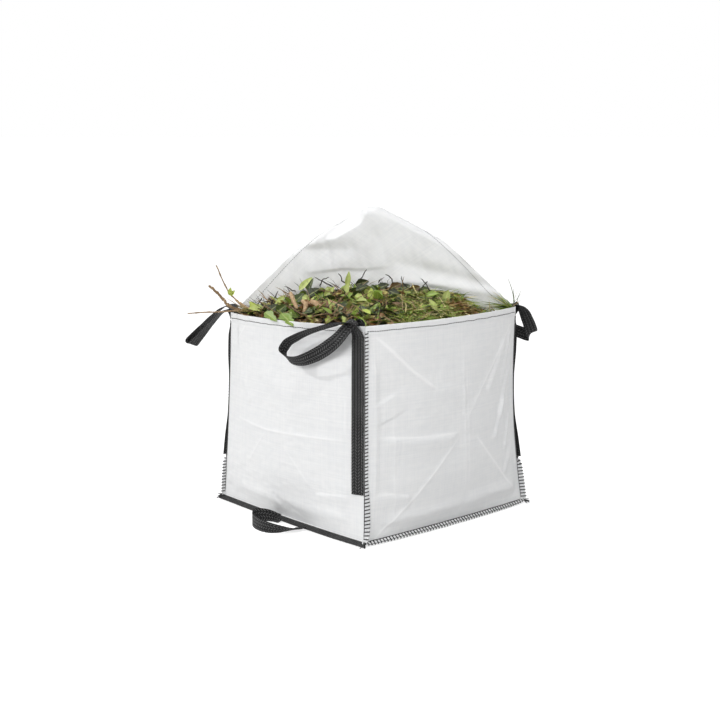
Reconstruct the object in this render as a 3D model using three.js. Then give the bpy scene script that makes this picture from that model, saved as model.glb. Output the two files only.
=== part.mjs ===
// A square garden waste bag of woven plastic cloth, standing full, with its lid raised.
// Millimetres, +Z up. The origin is the centre of the underside of the base, -Y is the front panel.
import * as THREE from 'three';

// Bag
const SIDE = 750;             // panel width between the corner seams, at the base
const HEIGHT = 705;           // ground to rim
const FABRIC = 2;             // modelled thickness of the cloth
const GAP = 0.3;              // clearance between pieces that touch
const FACET = 0.4;            // allowance for the flat facets of a bowed panel
const RIM_INSET = 24;         // how far the rim's corners are drawn in, along X and along Y
const RIM_DIP = 30;           // how far the rim hangs down at the front left corner
const BASE_BOW = 10;          // outward bow of a panel at the base seam,
const BELLY_BOW = 48;         // at the belly
const RIM_BOW = 46;           // and at the rim
const BELLY_AT = 0.3;         // share of the height at which the belly is full
const SEAM_LIFT = 15;         // height of the base seam above the ground
const EDGE_BAND = 60;         // width over which the base rises to its seam
const CORNER_FIN = 18;        // width of the seam allowance that stands out at a corner
const BASE_FIN = 18;          // and along the base
// Lift loops and base webbing
const WEBBING_WIDTH = 45;
const WEBBING_THICK = 2.4;
const LEG_FROM_SEAM = 4.5;    // from a corner seam to the near edge of the sewn leg
const LEG_LOWEST = 165;       // height of the lower end of an outer leg above the ground
const INNER_LEG = 160;        // length sewn on below the rim, inside
const LEG_CLEARS_RIM = 5;     // height over the rim at which the inner leg is free
const LEG_SETTLES = 32;       // depth below the rim at which the outer leg lies flat
const BINDING_FROM = 2;       // from the base seam down to its webbing
const BINDING_WIDTH = 17;     // webbing that shows on the front base seam
const HANDLE_CLEARS = 1;      // from the ground up to the tipping handle
// Lid
const LID_SEAM = 20;          // depth of the lid's sewn edge inside the rim
const LID_CROWN = 72;         // rise of the lid over the heap at the middle of its crease
const LID_RISE = 464;         // height over the rim that the free corner would reach without the fold
const LID_LEAN = 0.12;        // backward lean of the raised half
const LID_FOLD = 318;         // height of the fold over the rim, at the middle of the lid
const LID_FOLD_SLOPE = 264;   // how fast that height falls off toward the left and right corners
const LID_FOLD_FLAT = 0.04;   // half width of the level part of the fold, as a share of the crease
const LID_FOLD_RADIUS = 30;
// Filling
const HEAP_GAP = 1.6;         // from the lid's sewn edge to the heap
const HEAP_DROP = 40;         // from the rim down to the heap at the panels
const HEAP_RISE = 98;         // rise of the heap from there to its crown
const HEAP_TILT = 22;         // slope of the heap from the front left corner to the back right one
const BRANCH_RADIUS = 5;
const STEM_RADIUS = 2.5;
// Stitching
const THREAD = 0.8;           // thickness of a row of stitches
const WHIP_WIDTH = 9;         // width of the whip stitching over a seam
const WHIP_FROM_SEAM = 5;     // from the base seam down to its whip stitching
const WHIP_FROM_EDGE = 2;     // from the edge of a corner's allowance in to its whip stitching
const WHIP_ENDS = 0.03;       // part of a corner's height that each end leaves bare
const HEM_STITCH = 17;        // rim to its row of stitches
const LID_HEM = 26;           // free edge of the lid to its row of stitches
const STITCH_WIDTH = 2;
const LID_ROW_FROM = 0.1;     // ends of a row on the lid, as shares of the free edge
const LID_ROW_TO = 0.42;
const SEAM_FACET = 0.2;       // allowance for the flat facets of the base seam

const HALF = SIDE / 2;
const DIAGONAL = Math.SQRT1_2;
const BASE_TOP = FABRIC / 2;
const SEAM_Z = SEAM_LIFT + (FABRIC + GAP) * Math.SQRT2;
const OUTER_LEG = HEIGHT - LEG_LOWEST;
const LEG_AT = LEG_FROM_SEAM + WEBBING_WIDTH / 2;
const LEG_SAG = RIM_BOW * (WEBBING_WIDTH / SIDE) ** 2;
const LEG_OFFSET = FABRIC / 2 + GAP + FACET + LEG_SAG + WEBBING_THICK / 2;
// A bowed outline that is drawn in also loses some of its bow beside its corners.
const DRAWN_IN = 1 + 2 * RIM_BOW / HALF;
const LID_OFFSET = (LEG_OFFSET + WEBBING_THICK / 2 + GAP + FABRIC / 2) / DRAWN_IN;
const HEAP_CLEAR = LID_OFFSET + FABRIC / 2 + HEAP_GAP;

const colours = {
  cloth: 0xf1f1ef,
  webbing: 0x262626,
  thread: 0x151515,
  waste: 0x5f7a2c,
  wood: 0x7a5a3c,
};

const bag = new THREE.Group();

function vector(x, y, z) {
  return new THREE.Vector3(x, y, z);
}

function smooth(low, high, value) {
  return THREE.MathUtils.smoothstep(value, low, high);
}

// Turns a point of the front panel's frame to panel number `panel`: front, right, back, left.
function turn(point, panel) {
  return point.applyAxisAngle(vector(0, 0, 1), panel * Math.PI / 2);
}

// Adds a named solid to the bag.
function add(name, geometry, colour, roughness = 0.85) {
  const material = new THREE.MeshStandardMaterial({ color: colour, roughness, metalness: 0 });
  const mesh = new THREE.Mesh(geometry, material);
  mesh.name = name;
  bag.add(mesh);
}

// Splits the cells of a box's underside along the same diagonals as those of its top.
const UNDERSIDE = 3;
const CELL_CORNERS = 6;

function matchUnderside(geometry) {
  const { start, count } = geometry.groups[UNDERSIDE];
  for (let at = start; at < start + count; at += CELL_CORNERS) {
    const [a, b, d, , c] = geometry.index.array.slice(at, at + CELL_CORNERS);
    geometry.index.array.set([a, b, c, a, c, d], at);
  }
}

// A closed sheet of even thickness about the middle surface pointAt(column, row).
function sheet(columns, rows, thickness, pointAt) {
  const geometry = new THREE.BoxGeometry(1, 1, 1, columns, 1, rows);
  matchUnderside(geometry);
  const points = [];
  for (let i = 0; i <= columns; i += 1) {
    points.push(Array.from({ length: rows + 1 }, (_, k) => pointAt(i, k)));
  }
  const normalAt = (i, k) => {
    const across = points[Math.min(i + 1, columns)][k].clone();
    across.sub(points[Math.max(i - 1, 0)][k]);
    const along = points[i][Math.min(k + 1, rows)].clone();
    along.sub(points[i][Math.max(k - 1, 0)]);
    return along.cross(across).normalize();
  };
  const place = geometry.attributes.position;
  for (let v = 0; v < place.count; v += 1) {
    const i = Math.round((place.getX(v) + 0.5) * columns);
    const k = Math.round((place.getZ(v) + 0.5) * rows);
    const side = Math.sign(place.getY(v));
    const point = points[i][k].clone().addScaledVector(normalAt(i, k), side * thickness / 2);
    place.setXYZ(v, point.x, point.y, point.z);
  }
  geometry.computeVertexNormals();
  return geometry;
}

// The bag's outline at a share t of its height: half its width at the corners, and the panels' bow.
function halfAt(t) {
  return HALF - RIM_INSET * t;
}

function bowAt(t) {
  const belly = Math.sin(Math.PI / 2 * THREE.MathUtils.clamp(t / BELLY_AT, 0, 1));
  return BASE_BOW + (BELLY_BOW - BASE_BOW) * belly + (RIM_BOW - BELLY_BOW) * smooth(BELLY_AT, 1, t);
}

// Height of the rim above the ground at a place in plan: it hangs down at the front left corner.
function rimAt(x, y) {
  const left = THREE.MathUtils.clamp(0.5 - x / SIDE, 0, 1);
  const front = THREE.MathUtils.clamp(0.5 - y / SIDE, 0, 1);
  return HEIGHT - RIM_DIP * left * front;
}

// The middle surface of a panel: s runs from -1 to 1 across it, t from 0 at the base seam to 1 at the rim.
function wallAt(panel, s, t, outward = 0) {
  const half = halfAt(t);
  const point = turn(vector(s * half, -half - bowAt(t) * (1 - s * s) - outward, 0), panel);
  point.z = SEAM_Z + t * (rimAt(point.x, point.y) - SEAM_Z);
  return point;
}

// A square with bowed sides in plan: u and v run from -1 to 1 between the panels.
function planAt(u, v, half, bow) {
  return vector(u * (half + bow * (1 - v * v)), v * (half + bow * (1 - u * u)), 0);
}

// Outward along the diagonal at the corner where this panel ends and the next begins.
function cornerOut(panel) {
  return turn(vector(DIAGONAL, -DIAGONAL, 0), panel);
}

// A side panel: its two side edges and its base edge turn outward as seam allowances.
const PANEL_COLUMNS = 14;
const PANEL_ROWS = 11;
const ROWS_CROWD = 1.35;      // above 1, the rows crowd toward the base

function panelPoint(panel, column, row) {
  const s = THREE.MathUtils.clamp((column - 1) / (PANEL_COLUMNS - 2) * 2 - 1, -1, 1);
  const share = THREE.MathUtils.clamp((row - 1) / (PANEL_ROWS - 1), 0, 1);
  const t = share ** ROWS_CROWD;
  const point = wallAt(panel, s, t);
  const end = Math.sign(s);
  const atSide = column <= 1 || column >= PANEL_COLUMNS - 1;
  const onFin = column === 0 || column === PANEL_COLUMNS;
  if (atSide) {
    const corner = end > 0 ? panel : panel + 3;
    const aside = cornerOut(corner).applyAxisAngle(vector(0, 0, 1), -end * Math.PI / 2);
    point.addScaledVector(aside, (FABRIC + GAP) / 2);
    if (onFin && row > 0) {
      point.addScaledVector(cornerOut(corner), CORNER_FIN);
    }
    if (onFin && row === 0) {
      point.addScaledVector(cornerOut(corner), BASE_FIN);
    }
  }
  if (row === 0) {
    point.z -= BASE_FIN * DIAGONAL;
    if (!onFin) {
      point.addScaledVector(turn(vector(0, -1, 0), panel), BASE_FIN * DIAGONAL);
    }
  }
  return point;
}

const panelNames = ['front', 'right', 'back', 'left'];
panelNames.forEach((name, panel) => {
  const geometry = sheet(PANEL_COLUMNS, PANEL_ROWS, FABRIC, (i, k) => panelPoint(panel, i, k));
  add(`${name}_panel`, geometry, colours.cloth);
});

// The base: flat on the ground, rising at its edge to the seam, then turned down as an allowance.
const BASE_STEPS = [1, 0.95, 0.9, 5 / 6, 4 / 6, 2 / 6, 0];
const BASE_LINES = [...BASE_STEPS.map((u) => -u), ...BASE_STEPS.slice(0, -1).reverse()];
const BASE_CELLS = BASE_LINES.length + 1;

function baseRise(u, v) {
  const edge = Math.max(Math.abs(u), Math.abs(v));
  return BASE_TOP + (SEAM_LIFT - BASE_TOP) * smooth(1 - EDGE_BAND / HALF, 1, edge);
}

function basePoint(column, row) {
  const line = (index) => BASE_LINES[THREE.MathUtils.clamp(index - 1, 0, BASE_LINES.length - 1)];
  const over = (index) => Math.sign(index - BASE_CELLS / 2) * Number(index === 0 || index === BASE_CELLS);
  const u = line(column);
  const v = line(row);
  const point = planAt(u, v, HALF, BASE_BOW);
  point.z = baseRise(u, v);
  point.x += over(column) * BASE_FIN * DIAGONAL;
  point.y += over(row) * BASE_FIN * DIAGONAL;
  if (over(column) !== 0 || over(row) !== 0) {
    point.z -= BASE_FIN * DIAGONAL;
  }
  return point;
}

add('base_panel', sheet(BASE_CELLS, BASE_CELLS, FABRIC, (i, k) => basePoint(i, k)), colours.cloth);

// Webbing: a ribbon through frames, each a centre and a direction across the ribbon.
const RIBBON_STEP = 34;

function ribbon(frames, width, thickness) {
  const centres = new THREE.CatmullRomCurve3(frames.map((f) => f.centre), false, 'centripetal');
  const last = frames.length - 1;
  const spine = [];
  frames.forEach(({ centre, across }, index) => {
    const next = frames[Math.min(index + 1, last)];
    const parts = index === last ? 1 : Math.ceil(centre.distanceTo(next.centre) / RIBBON_STEP);
    for (let part = 0; part < parts; part += 1) {
      const t = (index + part / parts) / last;
      const along = centres.getTangent(t);
      const cross = across.clone().lerp(next.across, part / parts);
      cross.addScaledVector(along, -cross.dot(along)).normalize();
      spine.push({ centre: centres.getPoint(t), cross });
    }
  });
  return sheet(2, spine.length - 1, thickness, (i, k) => {
    const { centre, cross } = spine[k];
    return centre.clone().addScaledVector(cross, (i - 1) * width / 2);
  });
}

// A sewn leg's centre and cross direction on a panel. `end` is the panel's side, 1 for right.
const LEG_STEPS = [0, 0.02, 0.1, 0.25, 0.4, 0.55, 0.7, 0.85, 1];
const NEARBY = 0.01;

function legFrame(panel, end, below, outward, facing) {
  const t = 1 - below / (HEIGHT - SEAM_Z);
  const s = end * (1 - LEG_AT / halfAt(t));
  const across = wallAt(panel, s - end * NEARBY, t);
  across.sub(wallAt(panel, s + end * NEARBY, t)).normalize();
  return { centre: wallAt(panel, s, t, outward), across: across.multiplyScalar(facing) };
}

// Free part of each loop: offsets from the rim at the leg, away from the corner, outward and up,
// then the direction across the webbing in the same three.
const loopRoutes = {
  front: [
    [10, 3, 16, -0.99, 0.08, -0.12], [13, 36, -3, -0.87, 0.1, -0.48],
    [41, 56, -42, -0.78, -0.09, -0.63], [102, 64, -84, -0.55, -0.34, -0.76],
    [152, 73, -110, -0.32, -0.53, -0.79], [203, 82, -127, -0.08, -0.67, -0.74],
    [247, 88, -124, 0.03, -0.7, -0.72], [266, 90, -101, 0.12, -0.78, -0.62],
    [255, 84, -76, 0.27, -0.8, -0.53], [220, 78, -54, 0.38, -0.77, -0.5],
    [167, 70, -30, 0.4, -0.8, -0.4], [114, 60, -12, 0.3, -0.85, -0.3],
    [70, 52, 2, 0.2, -0.9, -0.3], [35, 40, 12, 0.5, -0.8, -0.2],
    [12, 27, 10, 0.95, -0.25, 0], [2, 15, -8, 1, 0, 0],
  ],
  side: [
    [-2, 6, 11, -1, 0, 0], [-6, 30, 5, -0.98, 0.1, -0.15],
    [-7, 57, -20, -0.95, 0.28, -0.1], [-7, 77, -51, -0.91, 0.4, 0.12],
    [-8, 93, -81, -0.82, 0.45, 0.36], [-2, 107, -105, -0.62, 0.41, 0.66],
    [15, 110, -114, -0.38, 0.2, 0.9], [34, 98, -108, -0.25, 0.04, 0.97],
    [60, 88, -100, -0.2, -0.05, 0.98], [110, 80, -86, -0.2, -0.3, 0.93],
    [170, 78, -70, -0.1, -0.6, 0.8], [214, 78, -48, -0.05, -0.85, 0.5],
    [220, 76, -24, 0, -1, 0], [194, 72, -8, 0, -1, 0.05],
    [146, 66, -2, -0.1, -0.98, 0.1], [96, 58, 4, -0.25, -0.96, 0.1],
    [52, 46, 10, -0.6, -0.8, 0], [19, 30, 10, -0.95, -0.3, 0],
    [3, 17, -8, -1, 0, 0],
  ],
  outward: [
    [0, 4, 18, 1, 0, 0], [0, 24, 28, 1, 0, -0.02], [0, 64, 22, 1, 0, -0.08],
    [0, 120, -8, 0.98, 0, -0.16], [0, 188, -58, 0.95, 0, -0.26],
    [0, 252, -108, 0.93, 0, -0.35], [0, 284, -138, 0.92, 0, -0.38],
    [0, 276, -152, 0.92, 0, -0.38], [0, 242, -131, 0.93, 0, -0.35],
    [0, 174, -80, 0.95, 0, -0.26], [0, 106, -30, 0.98, 0, -0.16],
    [0, 56, -2, 1, 0, -0.08], [0, 24, 3, 1, 0, -0.02], [0, 10, -8, 1, 0, 0],
  ],
};

function liftLoop(panel, end, route, innerFacing, outerFacing) {
  const rim = legFrame(panel, end, 0, 0, 1).centre;
  const away = turn(vector(-end, 0, 0), panel);
  const out = turn(vector(0, -1, 0), panel);
  const local = (a, o, u) => vector(0, 0, u).addScaledVector(away, a).addScaledVector(out, o);
  const free = loopRoutes[route].map(([a, o, u, aw, ow, uw]) => ({
    centre: local(a, o, u).add(rim),
    across: local(aw, ow, uw).normalize(),
  }));
  const leg = (start, length, outward, facing) => LEG_STEPS.map((share) => (
    legFrame(panel, end, start + (length - start) * share, outward, facing)
  ));
  const inner = leg(-LEG_CLEARS_RIM, INNER_LEG, -LEG_OFFSET, innerFacing).reverse();
  const outer = leg(LEG_SETTLES, OUTER_LEG, LEG_OFFSET, outerFacing);
  return ribbon([...inner, ...free, ...outer], WEBBING_WIDTH, WEBBING_THICK);
}

add('lift_loop_front_right', liftLoop(0, 1, 'front', -1, 1), colours.webbing);
add('lift_loop_back_right', liftLoop(2, -1, 'side', -1, -1), colours.webbing);
add('lift_loop_back_left', liftLoop(2, 1, 'side', -1, -1), colours.webbing);
add('lift_loop_front_left', liftLoop(3, 1, 'outward', 1, 1), colours.webbing);

// A strip that lies on the base seam's allowance: from `near` to `far` of its width, at a height over it.
function seamStrip(panel, near, far, height, thickness) {
  const cells = 16;
  const slope = turn(vector(0, -DIAGONAL, DIAGONAL), panel);
  const down = turn(vector(0, -DIAGONAL, -DIAGONAL), panel);
  return sheet(1, cells, thickness, (i, k) => {
    const s = (k / cells * 2 - 1) * (1 - CORNER_FIN / HALF);
    const point = wallAt(panel, s, 0).addScaledVector(down, i === 0 ? far : near);
    return point.addScaledVector(slope, height);
  });
}

const bindingTo = BINDING_FROM + BINDING_WIDTH;
const bindingHeight = FABRIC / 2 + GAP + WEBBING_THICK / 2 + SEAM_FACET;
add('base_binding', seamStrip(0, BINDING_FROM, bindingTo, bindingHeight, WEBBING_THICK), colours.webbing);
const whipTo = WHIP_FROM_SEAM + WHIP_WIDTH;
const whipHeight = FABRIC / 2 + GAP + THREAD / 2 + SEAM_FACET;
[1, 2, 3].forEach((panel) => {
  const geometry = seamStrip(panel, WHIP_FROM_SEAM, whipTo, whipHeight, THREAD);
  add(`base_stitching_${panelNames[panel]}`, geometry, colours.thread);
});

// The tipping handle: a loop of webbing on edge in front of the base seam, as x and distance outward.
const handleRoute = [
  [-36, 17], [-60, 42], [-72, 80], [-46, 116], [0, 135], [45, 138], [80, 122], [99, 88], [98, 48], [90, 17],
];
const handleFrames = handleRoute.map(([x, out]) => ({
  centre: wallAt(0, x / HALF, 0, out).setZ(WEBBING_WIDTH / 2 + HANDLE_CLEARS),
  across: vector(0, 0, 1),
}));
add('tipping_handle', ribbon(handleFrames, WEBBING_WIDTH, WEBBING_THICK), colours.webbing);

// Whip stitching on each corner seam, on the face of its allowance.
const cornerNames = ['front_right', 'back_right', 'back_left', 'front_left'];
cornerNames.forEach((name, panel) => {
  const cells = 12;
  const out = cornerOut(panel);
  const aside = out.clone().applyAxisAngle(vector(0, 0, 1), -Math.PI / 2);
  const lift = (FABRIC + GAP) / 2 + FABRIC / 2 + GAP + THREAD / 2;
  const geometry = sheet(1, cells, THREAD, (i, k) => {
    const t = WHIP_ENDS + (1 - 2 * WHIP_ENDS) * k / cells;
    const point = wallAt(panel, 1, t).addScaledVector(aside, lift);
    return point.addScaledVector(out, CORNER_FIN - WHIP_FROM_EDGE - (i === 0 ? WHIP_WIDTH : 0));
  });
  add(`corner_stitching_${name}`, geometry, colours.thread);
});

// The running stitch of the rim's hem, between the corner straps.
panelNames.forEach((name, panel) => {
  const cells = 12;
  const reach = 1 - (LEG_AT + WEBBING_WIDTH) / HALF;
  const geometry = sheet(1, cells, THREAD, (i, k) => {
    const below = HEM_STITCH + i * STITCH_WIDTH;
    const t = 1 - below / (HEIGHT - SEAM_Z);
    return wallAt(panel, (k / cells * 2 - 1) * reach, t, FABRIC / 2 + GAP + FACET + THREAD / 2);
  });
  add(`rim_stitching_${name}`, geometry, colours.thread);
});

// The lid is a square sewn to the left and back rims. Its crease runs from the front left corner
// to the back right one: m runs along the crease, n from the sewn corner (-1) to the free corner (1).
const LID_CELLS = 18;

function lidPoint(p, q) {
  const half = halfAt(1) - LID_OFFSET;
  const m = q - p;
  const n = p + q - 1;
  const reach = 1 - Math.abs(m);
  const share = reach > 0 ? Math.abs(n) / reach : 1;
  const crown = LID_CROWN * (1 - m * m);
  if (n <= 0) {
    const point = planAt(2 * q - 1, 1 - 2 * p, half, RIM_BOW);
    point.z = rimAt(point.x, point.y) + crown * (1 - share * share);
    return point;
  }
  const point = planAt(m, m, half, RIM_BOW * (1 - share));
  const height = crown * (1 - share) + n * LID_RISE;
  const fold = LID_FOLD - LID_FOLD_SLOPE * Math.max(0, Math.abs(m) - LID_FOLD_FLAT);
  const below = Math.min(height, fold);
  const turned = THREE.MathUtils.clamp((height - fold) / LID_FOLD_RADIUS, 0, Math.PI);
  const tail = Math.max(0, height - fold - Math.PI * LID_FOLD_RADIUS);
  const back = LID_LEAN * (below + tail) + LID_FOLD_RADIUS * (1 - Math.cos(turned));
  point.z = rimAt(point.x, point.y) + below + LID_FOLD_RADIUS * Math.sin(turned) - tail;
  return point.addScaledVector(vector(-DIAGONAL, DIAGONAL, 0), back);
}

// The sewn edges hang down inside the rim by LID_SEAM.
function lidCell(column, row) {
  const p = Math.max(0, column - 1) / (LID_CELLS - 1);
  const q = Math.max(0, row - 1) / (LID_CELLS - 1);
  const point = lidPoint(p, q);
  if (column === 0 || row === 0) {
    point.z -= LID_SEAM;
  }
  return point;
}

add('lid', sheet(LID_CELLS, LID_CELLS, FABRIC, lidCell), colours.cloth);

// The running stitch beside each free edge of the lid.
function lidStitch(place) {
  const cells = 16;
  const lift = FABRIC / 2 + GAP + FACET + THREAD / 2;
  return sheet(1, cells, THREAD, (i, k) => {
    const across = 1 - (LID_HEM + i * STITCH_WIDTH) / SIDE;
    const along = LID_ROW_FROM + (LID_ROW_TO - LID_ROW_FROM) * k / cells;
    const point = place(across, along);
    return point.addScaledVector(vector(DIAGONAL, -DIAGONAL, LID_LEAN).normalize(), lift);
  });
}

add('lid_stitching_left', lidStitch((across, along) => lidPoint(across, along)), colours.thread);
add('lid_stitching_right', lidStitch((across, along) => lidPoint(along, across)), colours.thread);

// The filling: a heap that follows the panels inside and is crowned over the rim.
const HEAP_CELLS = 12;
const HEAP_LAYERS = 6;
const HEAP_FLAT = 0.8;        // share of the heap's width that lies flat on the base

function heapTop(u, v) {
  const plan = planAt(u, v, halfAt(1) - HEAP_CLEAR, RIM_BOW);
  const crown = HEAP_RISE * (1 - u * u) * (1 - v * v);
  const tilt = HEAP_TILT * (u + v) / 2 * Math.max(Math.abs(u), Math.abs(v));
  return rimAt(plan.x, plan.y) - HEAP_DROP + crown - tilt;
}

// A point of the heap: u and v across it, and a share of its height.
function heapPoint(u, v, share) {
  const edge = smooth(HEAP_FLAT, 1, Math.max(Math.abs(u), Math.abs(v)));
  const low = baseRise(u, v) + FABRIC / 2 + GAP + HEAP_CLEAR * edge;
  const z = low + (heapTop(u, v) - low) * share;
  const rim = planAt(u, v, halfAt(1) - HEAP_CLEAR, RIM_BOW);
  const t = THREE.MathUtils.clamp((z - SEAM_Z) / (rimAt(rim.x, rim.y) - SEAM_Z), 0, 1);
  return planAt(u, v, halfAt(t) - HEAP_CLEAR, bowAt(t)).setZ(z);
}

function heap() {
  const geometry = new THREE.BoxGeometry(2, 2, 1, HEAP_CELLS, HEAP_CELLS, HEAP_LAYERS);
  const place = geometry.attributes.position;
  for (let i = 0; i < place.count; i += 1) {
    const point = heapPoint(place.getX(i), place.getY(i), place.getZ(i) + 0.5);
    place.setXYZ(i, point.x, point.y, point.z);
  }
  geometry.computeVertexNormals();
  return geometry;
}

add('garden_waste', heap(), colours.waste);

// Branches that lie on the heap and reach out over the front left corner. A branch rests on one of
// the heap's high points, counted in cells from its middle, and goes on through offsets from there.
const branchRoutes = {
  branch_thick: [BRANCH_RADIUS, -3, -4, [-136, -107, -6], [-167, -141, 34], [-195, -173, 79]],
  branch_thin: [STEM_RADIUS, -4, -5, [-53, -35, 34], [-92, -61, 70], [-124, -97, 173]],
  branch_long: [STEM_RADIUS, -2, -4, [-112, -60, -12], [-220, -148, -20], [-318, -220, -32]],
};

function branch(radius, column, row, ...offsets) {
  const foot = heapPoint(2 * column / HEAP_CELLS, 2 * row / HEAP_CELLS, 1);
  foot.z += radius + GAP;
  const points = [foot, ...offsets.map(([x, y, z]) => vector(x, y, z).add(foot))];
  const curve = new THREE.CatmullRomCurve3(points);
  const section = new THREE.Shape().absarc(0, 0, radius, 0, 2 * Math.PI);
  const options = { steps: 14, extrudePath: curve, curveSegments: 8, bevelEnabled: false };
  return new THREE.ExtrudeGeometry(section, options);
}

Object.entries(branchRoutes).forEach(([name, route]) => {
  add(name, branch(...route), colours.wood);
});

export default bag;
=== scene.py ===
"""Looks of a full garden waste bag of woven plastic cloth, with webbing loops and a raised lid.

Metres, +Z up. The origin is the centre of the underside of the base, -Y is the front panel.
"""

import bpy
import numpy as np
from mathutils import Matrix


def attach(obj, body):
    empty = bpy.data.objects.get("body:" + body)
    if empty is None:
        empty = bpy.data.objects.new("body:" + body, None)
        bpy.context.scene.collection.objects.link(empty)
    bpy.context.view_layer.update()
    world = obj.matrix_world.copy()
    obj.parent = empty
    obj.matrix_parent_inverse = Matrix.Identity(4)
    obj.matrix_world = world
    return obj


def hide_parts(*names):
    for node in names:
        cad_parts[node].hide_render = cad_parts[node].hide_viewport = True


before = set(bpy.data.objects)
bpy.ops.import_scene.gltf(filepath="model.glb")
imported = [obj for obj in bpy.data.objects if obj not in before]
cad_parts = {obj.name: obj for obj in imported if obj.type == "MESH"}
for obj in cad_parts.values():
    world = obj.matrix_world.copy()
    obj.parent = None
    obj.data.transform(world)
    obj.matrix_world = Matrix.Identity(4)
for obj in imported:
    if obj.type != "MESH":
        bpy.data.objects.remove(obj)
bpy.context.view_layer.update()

# Sizes of the bag, from the part's source.
HALF = 0.375
HEIGHT = 0.705
RIM_INSET = 0.024
RIM_DIP = 0.030
BASE_BOW = 0.010
BELLY_BOW = 0.048
RIM_BOW = 0.046
BELLY_AT = 0.3
BASE_MIDDLE = 0.001      # middle of the base's cloth over the ground
SEAM_LIFT = 0.015
SEAM_Z = 0.01825
WALL = HEIGHT - SEAM_Z
EDGE_BAND = 0.060        # along its edge the base rises to its seam
FIN = 0.018              # width of a seam allowance
WEBBING_WIDTH = 0.045
LEG_OFFSET = 0.0031      # from a panel's middle to a strap leg's middle
LEG_LENGTH = 0.540       # depth of the outer leg's end below the rim
LEG_CLEARS_RIM = 0.005   # how far the inner leg rises over the rim
LEG_SETTLES = 0.032      # depth at which the outer leg lies on the cloth
INNER_LEG = 0.160
HEM_STITCH = 0.017       # depth of the hem's stitches below the rim
LID_INSET = 0.00447
LID_SEAM = 0.020
LID_HEM = 0.026          # from a free edge to its stitches
LID_CROWN = 0.072
LID_RISE = 0.464
LID_LEAN = 0.12
LID_FOLD = 0.318
LID_FOLD_SLOPE = 0.264
LID_FOLD_FLAT = 0.04
LID_FOLD_RADIUS = 0.030
HEAP_CLEAR = 0.0071      # from a panel's middle to the heap
HEAP_FROM_BASE = 0.0013  # from the base's middle to the heap
HEAP_DROP = 0.040
HEAP_RISE = 0.098
HEAP_TILT = 0.022

# Sizes of the looks alone.
WAIST = 0.0085          # how far the corner seams are drawn in at half height
WAIST_LEAN = 0.0055     # how much more at the back right, and less at the front left
WEBBING_THICK = 0.0022
LEG_AT = 0.0238         # from a corner to the middle of its strap leg

DIAGONAL = np.sqrt(0.5)
PANELS = ["front", "right", "back", "left"]
CORNERS = ["front_right", "back_right", "back_left", "front_left"]
UP = np.array([0.0, 0.0, 1.0])
LATTICE = 97            # cells of the noise before it repeats


# Numbers on arrays

def ease(low, high, value):
    """0 below low, 1 above high, and a smooth S between."""
    k = np.clip((value - low) / (high - low), 0, 1)
    return k * k * (3 - 2 * k)


def unit(vectors):
    """Vectors of length 1 along the last axis."""
    return vectors / np.maximum(np.linalg.norm(vectors, axis=-1, keepdims=True), 1e-12)


def noise(x, y, cell, seed):
    """Random heights on a square lattice of side `cell`, blended smoothly between its points."""
    lattice = np.random.default_rng(seed).uniform(-1, 1, (LATTICE, LATTICE))
    column = np.floor(x / cell).astype(int)
    row = np.floor(y / cell).astype(int)
    right = ease(0, 1, x / cell - column)
    up = ease(0, 1, y / cell - row)

    def at(i, k):
        return lattice[(column + i) % LATTICE, (row + k) % LATTICE]

    low = at(0, 0) * (1 - right) + at(1, 0) * right
    high = at(0, 1) * (1 - right) + at(1, 1) * right
    return low * (1 - up) + high * up


def colour(red, green, blue):
    """A screen colour, 0 to 255, as the linear colour that shaders take."""
    screen = np.array([red, green, blue]) / 255
    return np.where(screen < 0.04045, screen / 12.92, ((screen + 0.055) / 1.055) ** 2.4)


# Meshes from arrays

def grid_faces(rows, columns, around=False):
    """Quads of a grid of rows by columns. Around joins the last column to the first."""
    row = np.arange(rows - 1)[:, None]
    column = np.arange(columns if around else columns - 1)[None, :]
    beside = (column + 1) % columns
    corners = [row * columns + column, row * columns + beside,
               (row + 1) * columns + beside, (row + 1) * columns + column]
    return np.stack(corners, axis=-1).reshape(-1, 4)


def repeat_faces(faces, points_each, count):
    """The faces of one shape, repeated for `count` shapes whose points follow each other."""
    starts = np.arange(count)[:, None, None] * points_each
    return (faces[None] + starts).reshape(-1, faces.shape[1])


def make_piece(name, points, faces, material, slot, uv=None, tint=None):
    """A mesh object at the origin that rides on the bag, from arrays of points and faces."""
    points = np.ascontiguousarray(points, dtype=np.float32).reshape(-1, 3)
    faces = np.ascontiguousarray(faces, dtype=np.int32)
    mesh = bpy.data.meshes.new(name)
    mesh.vertices.add(len(points))
    mesh.vertices.foreach_set("co", points.ravel())
    mesh.loops.add(faces.size)
    mesh.loops.foreach_set("vertex_index", faces.ravel())
    mesh.polygons.add(len(faces))
    mesh.polygons.foreach_set("loop_start", np.arange(0, faces.size, faces.shape[1], dtype=np.int32))
    if uv is not None:
        places = np.asarray(uv, dtype=np.float32).reshape(-1, 2)[faces.ravel()]
        mesh.uv_layers.new(name="cut").data.foreach_set("uv", places.ravel())
    if tint is not None:
        tones = np.ones((len(points), 4), dtype=np.float32)
        tones[:, :3] = np.asarray(tint).reshape(-1, 3)
        mesh.attributes.new("tint", "FLOAT_COLOR", "POINT").data.foreach_set("color", tones.ravel())
    mesh.update(calc_edges=True)
    mesh.validate()
    mesh.polygons.foreach_set("use_smooth", np.ones(len(mesh.polygons), dtype=bool))
    mesh.materials.append(material)
    piece = bpy.data.objects.new(name, mesh)
    bpy.context.collection.objects.link(piece)
    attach(piece, "root")
    return piece


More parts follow.
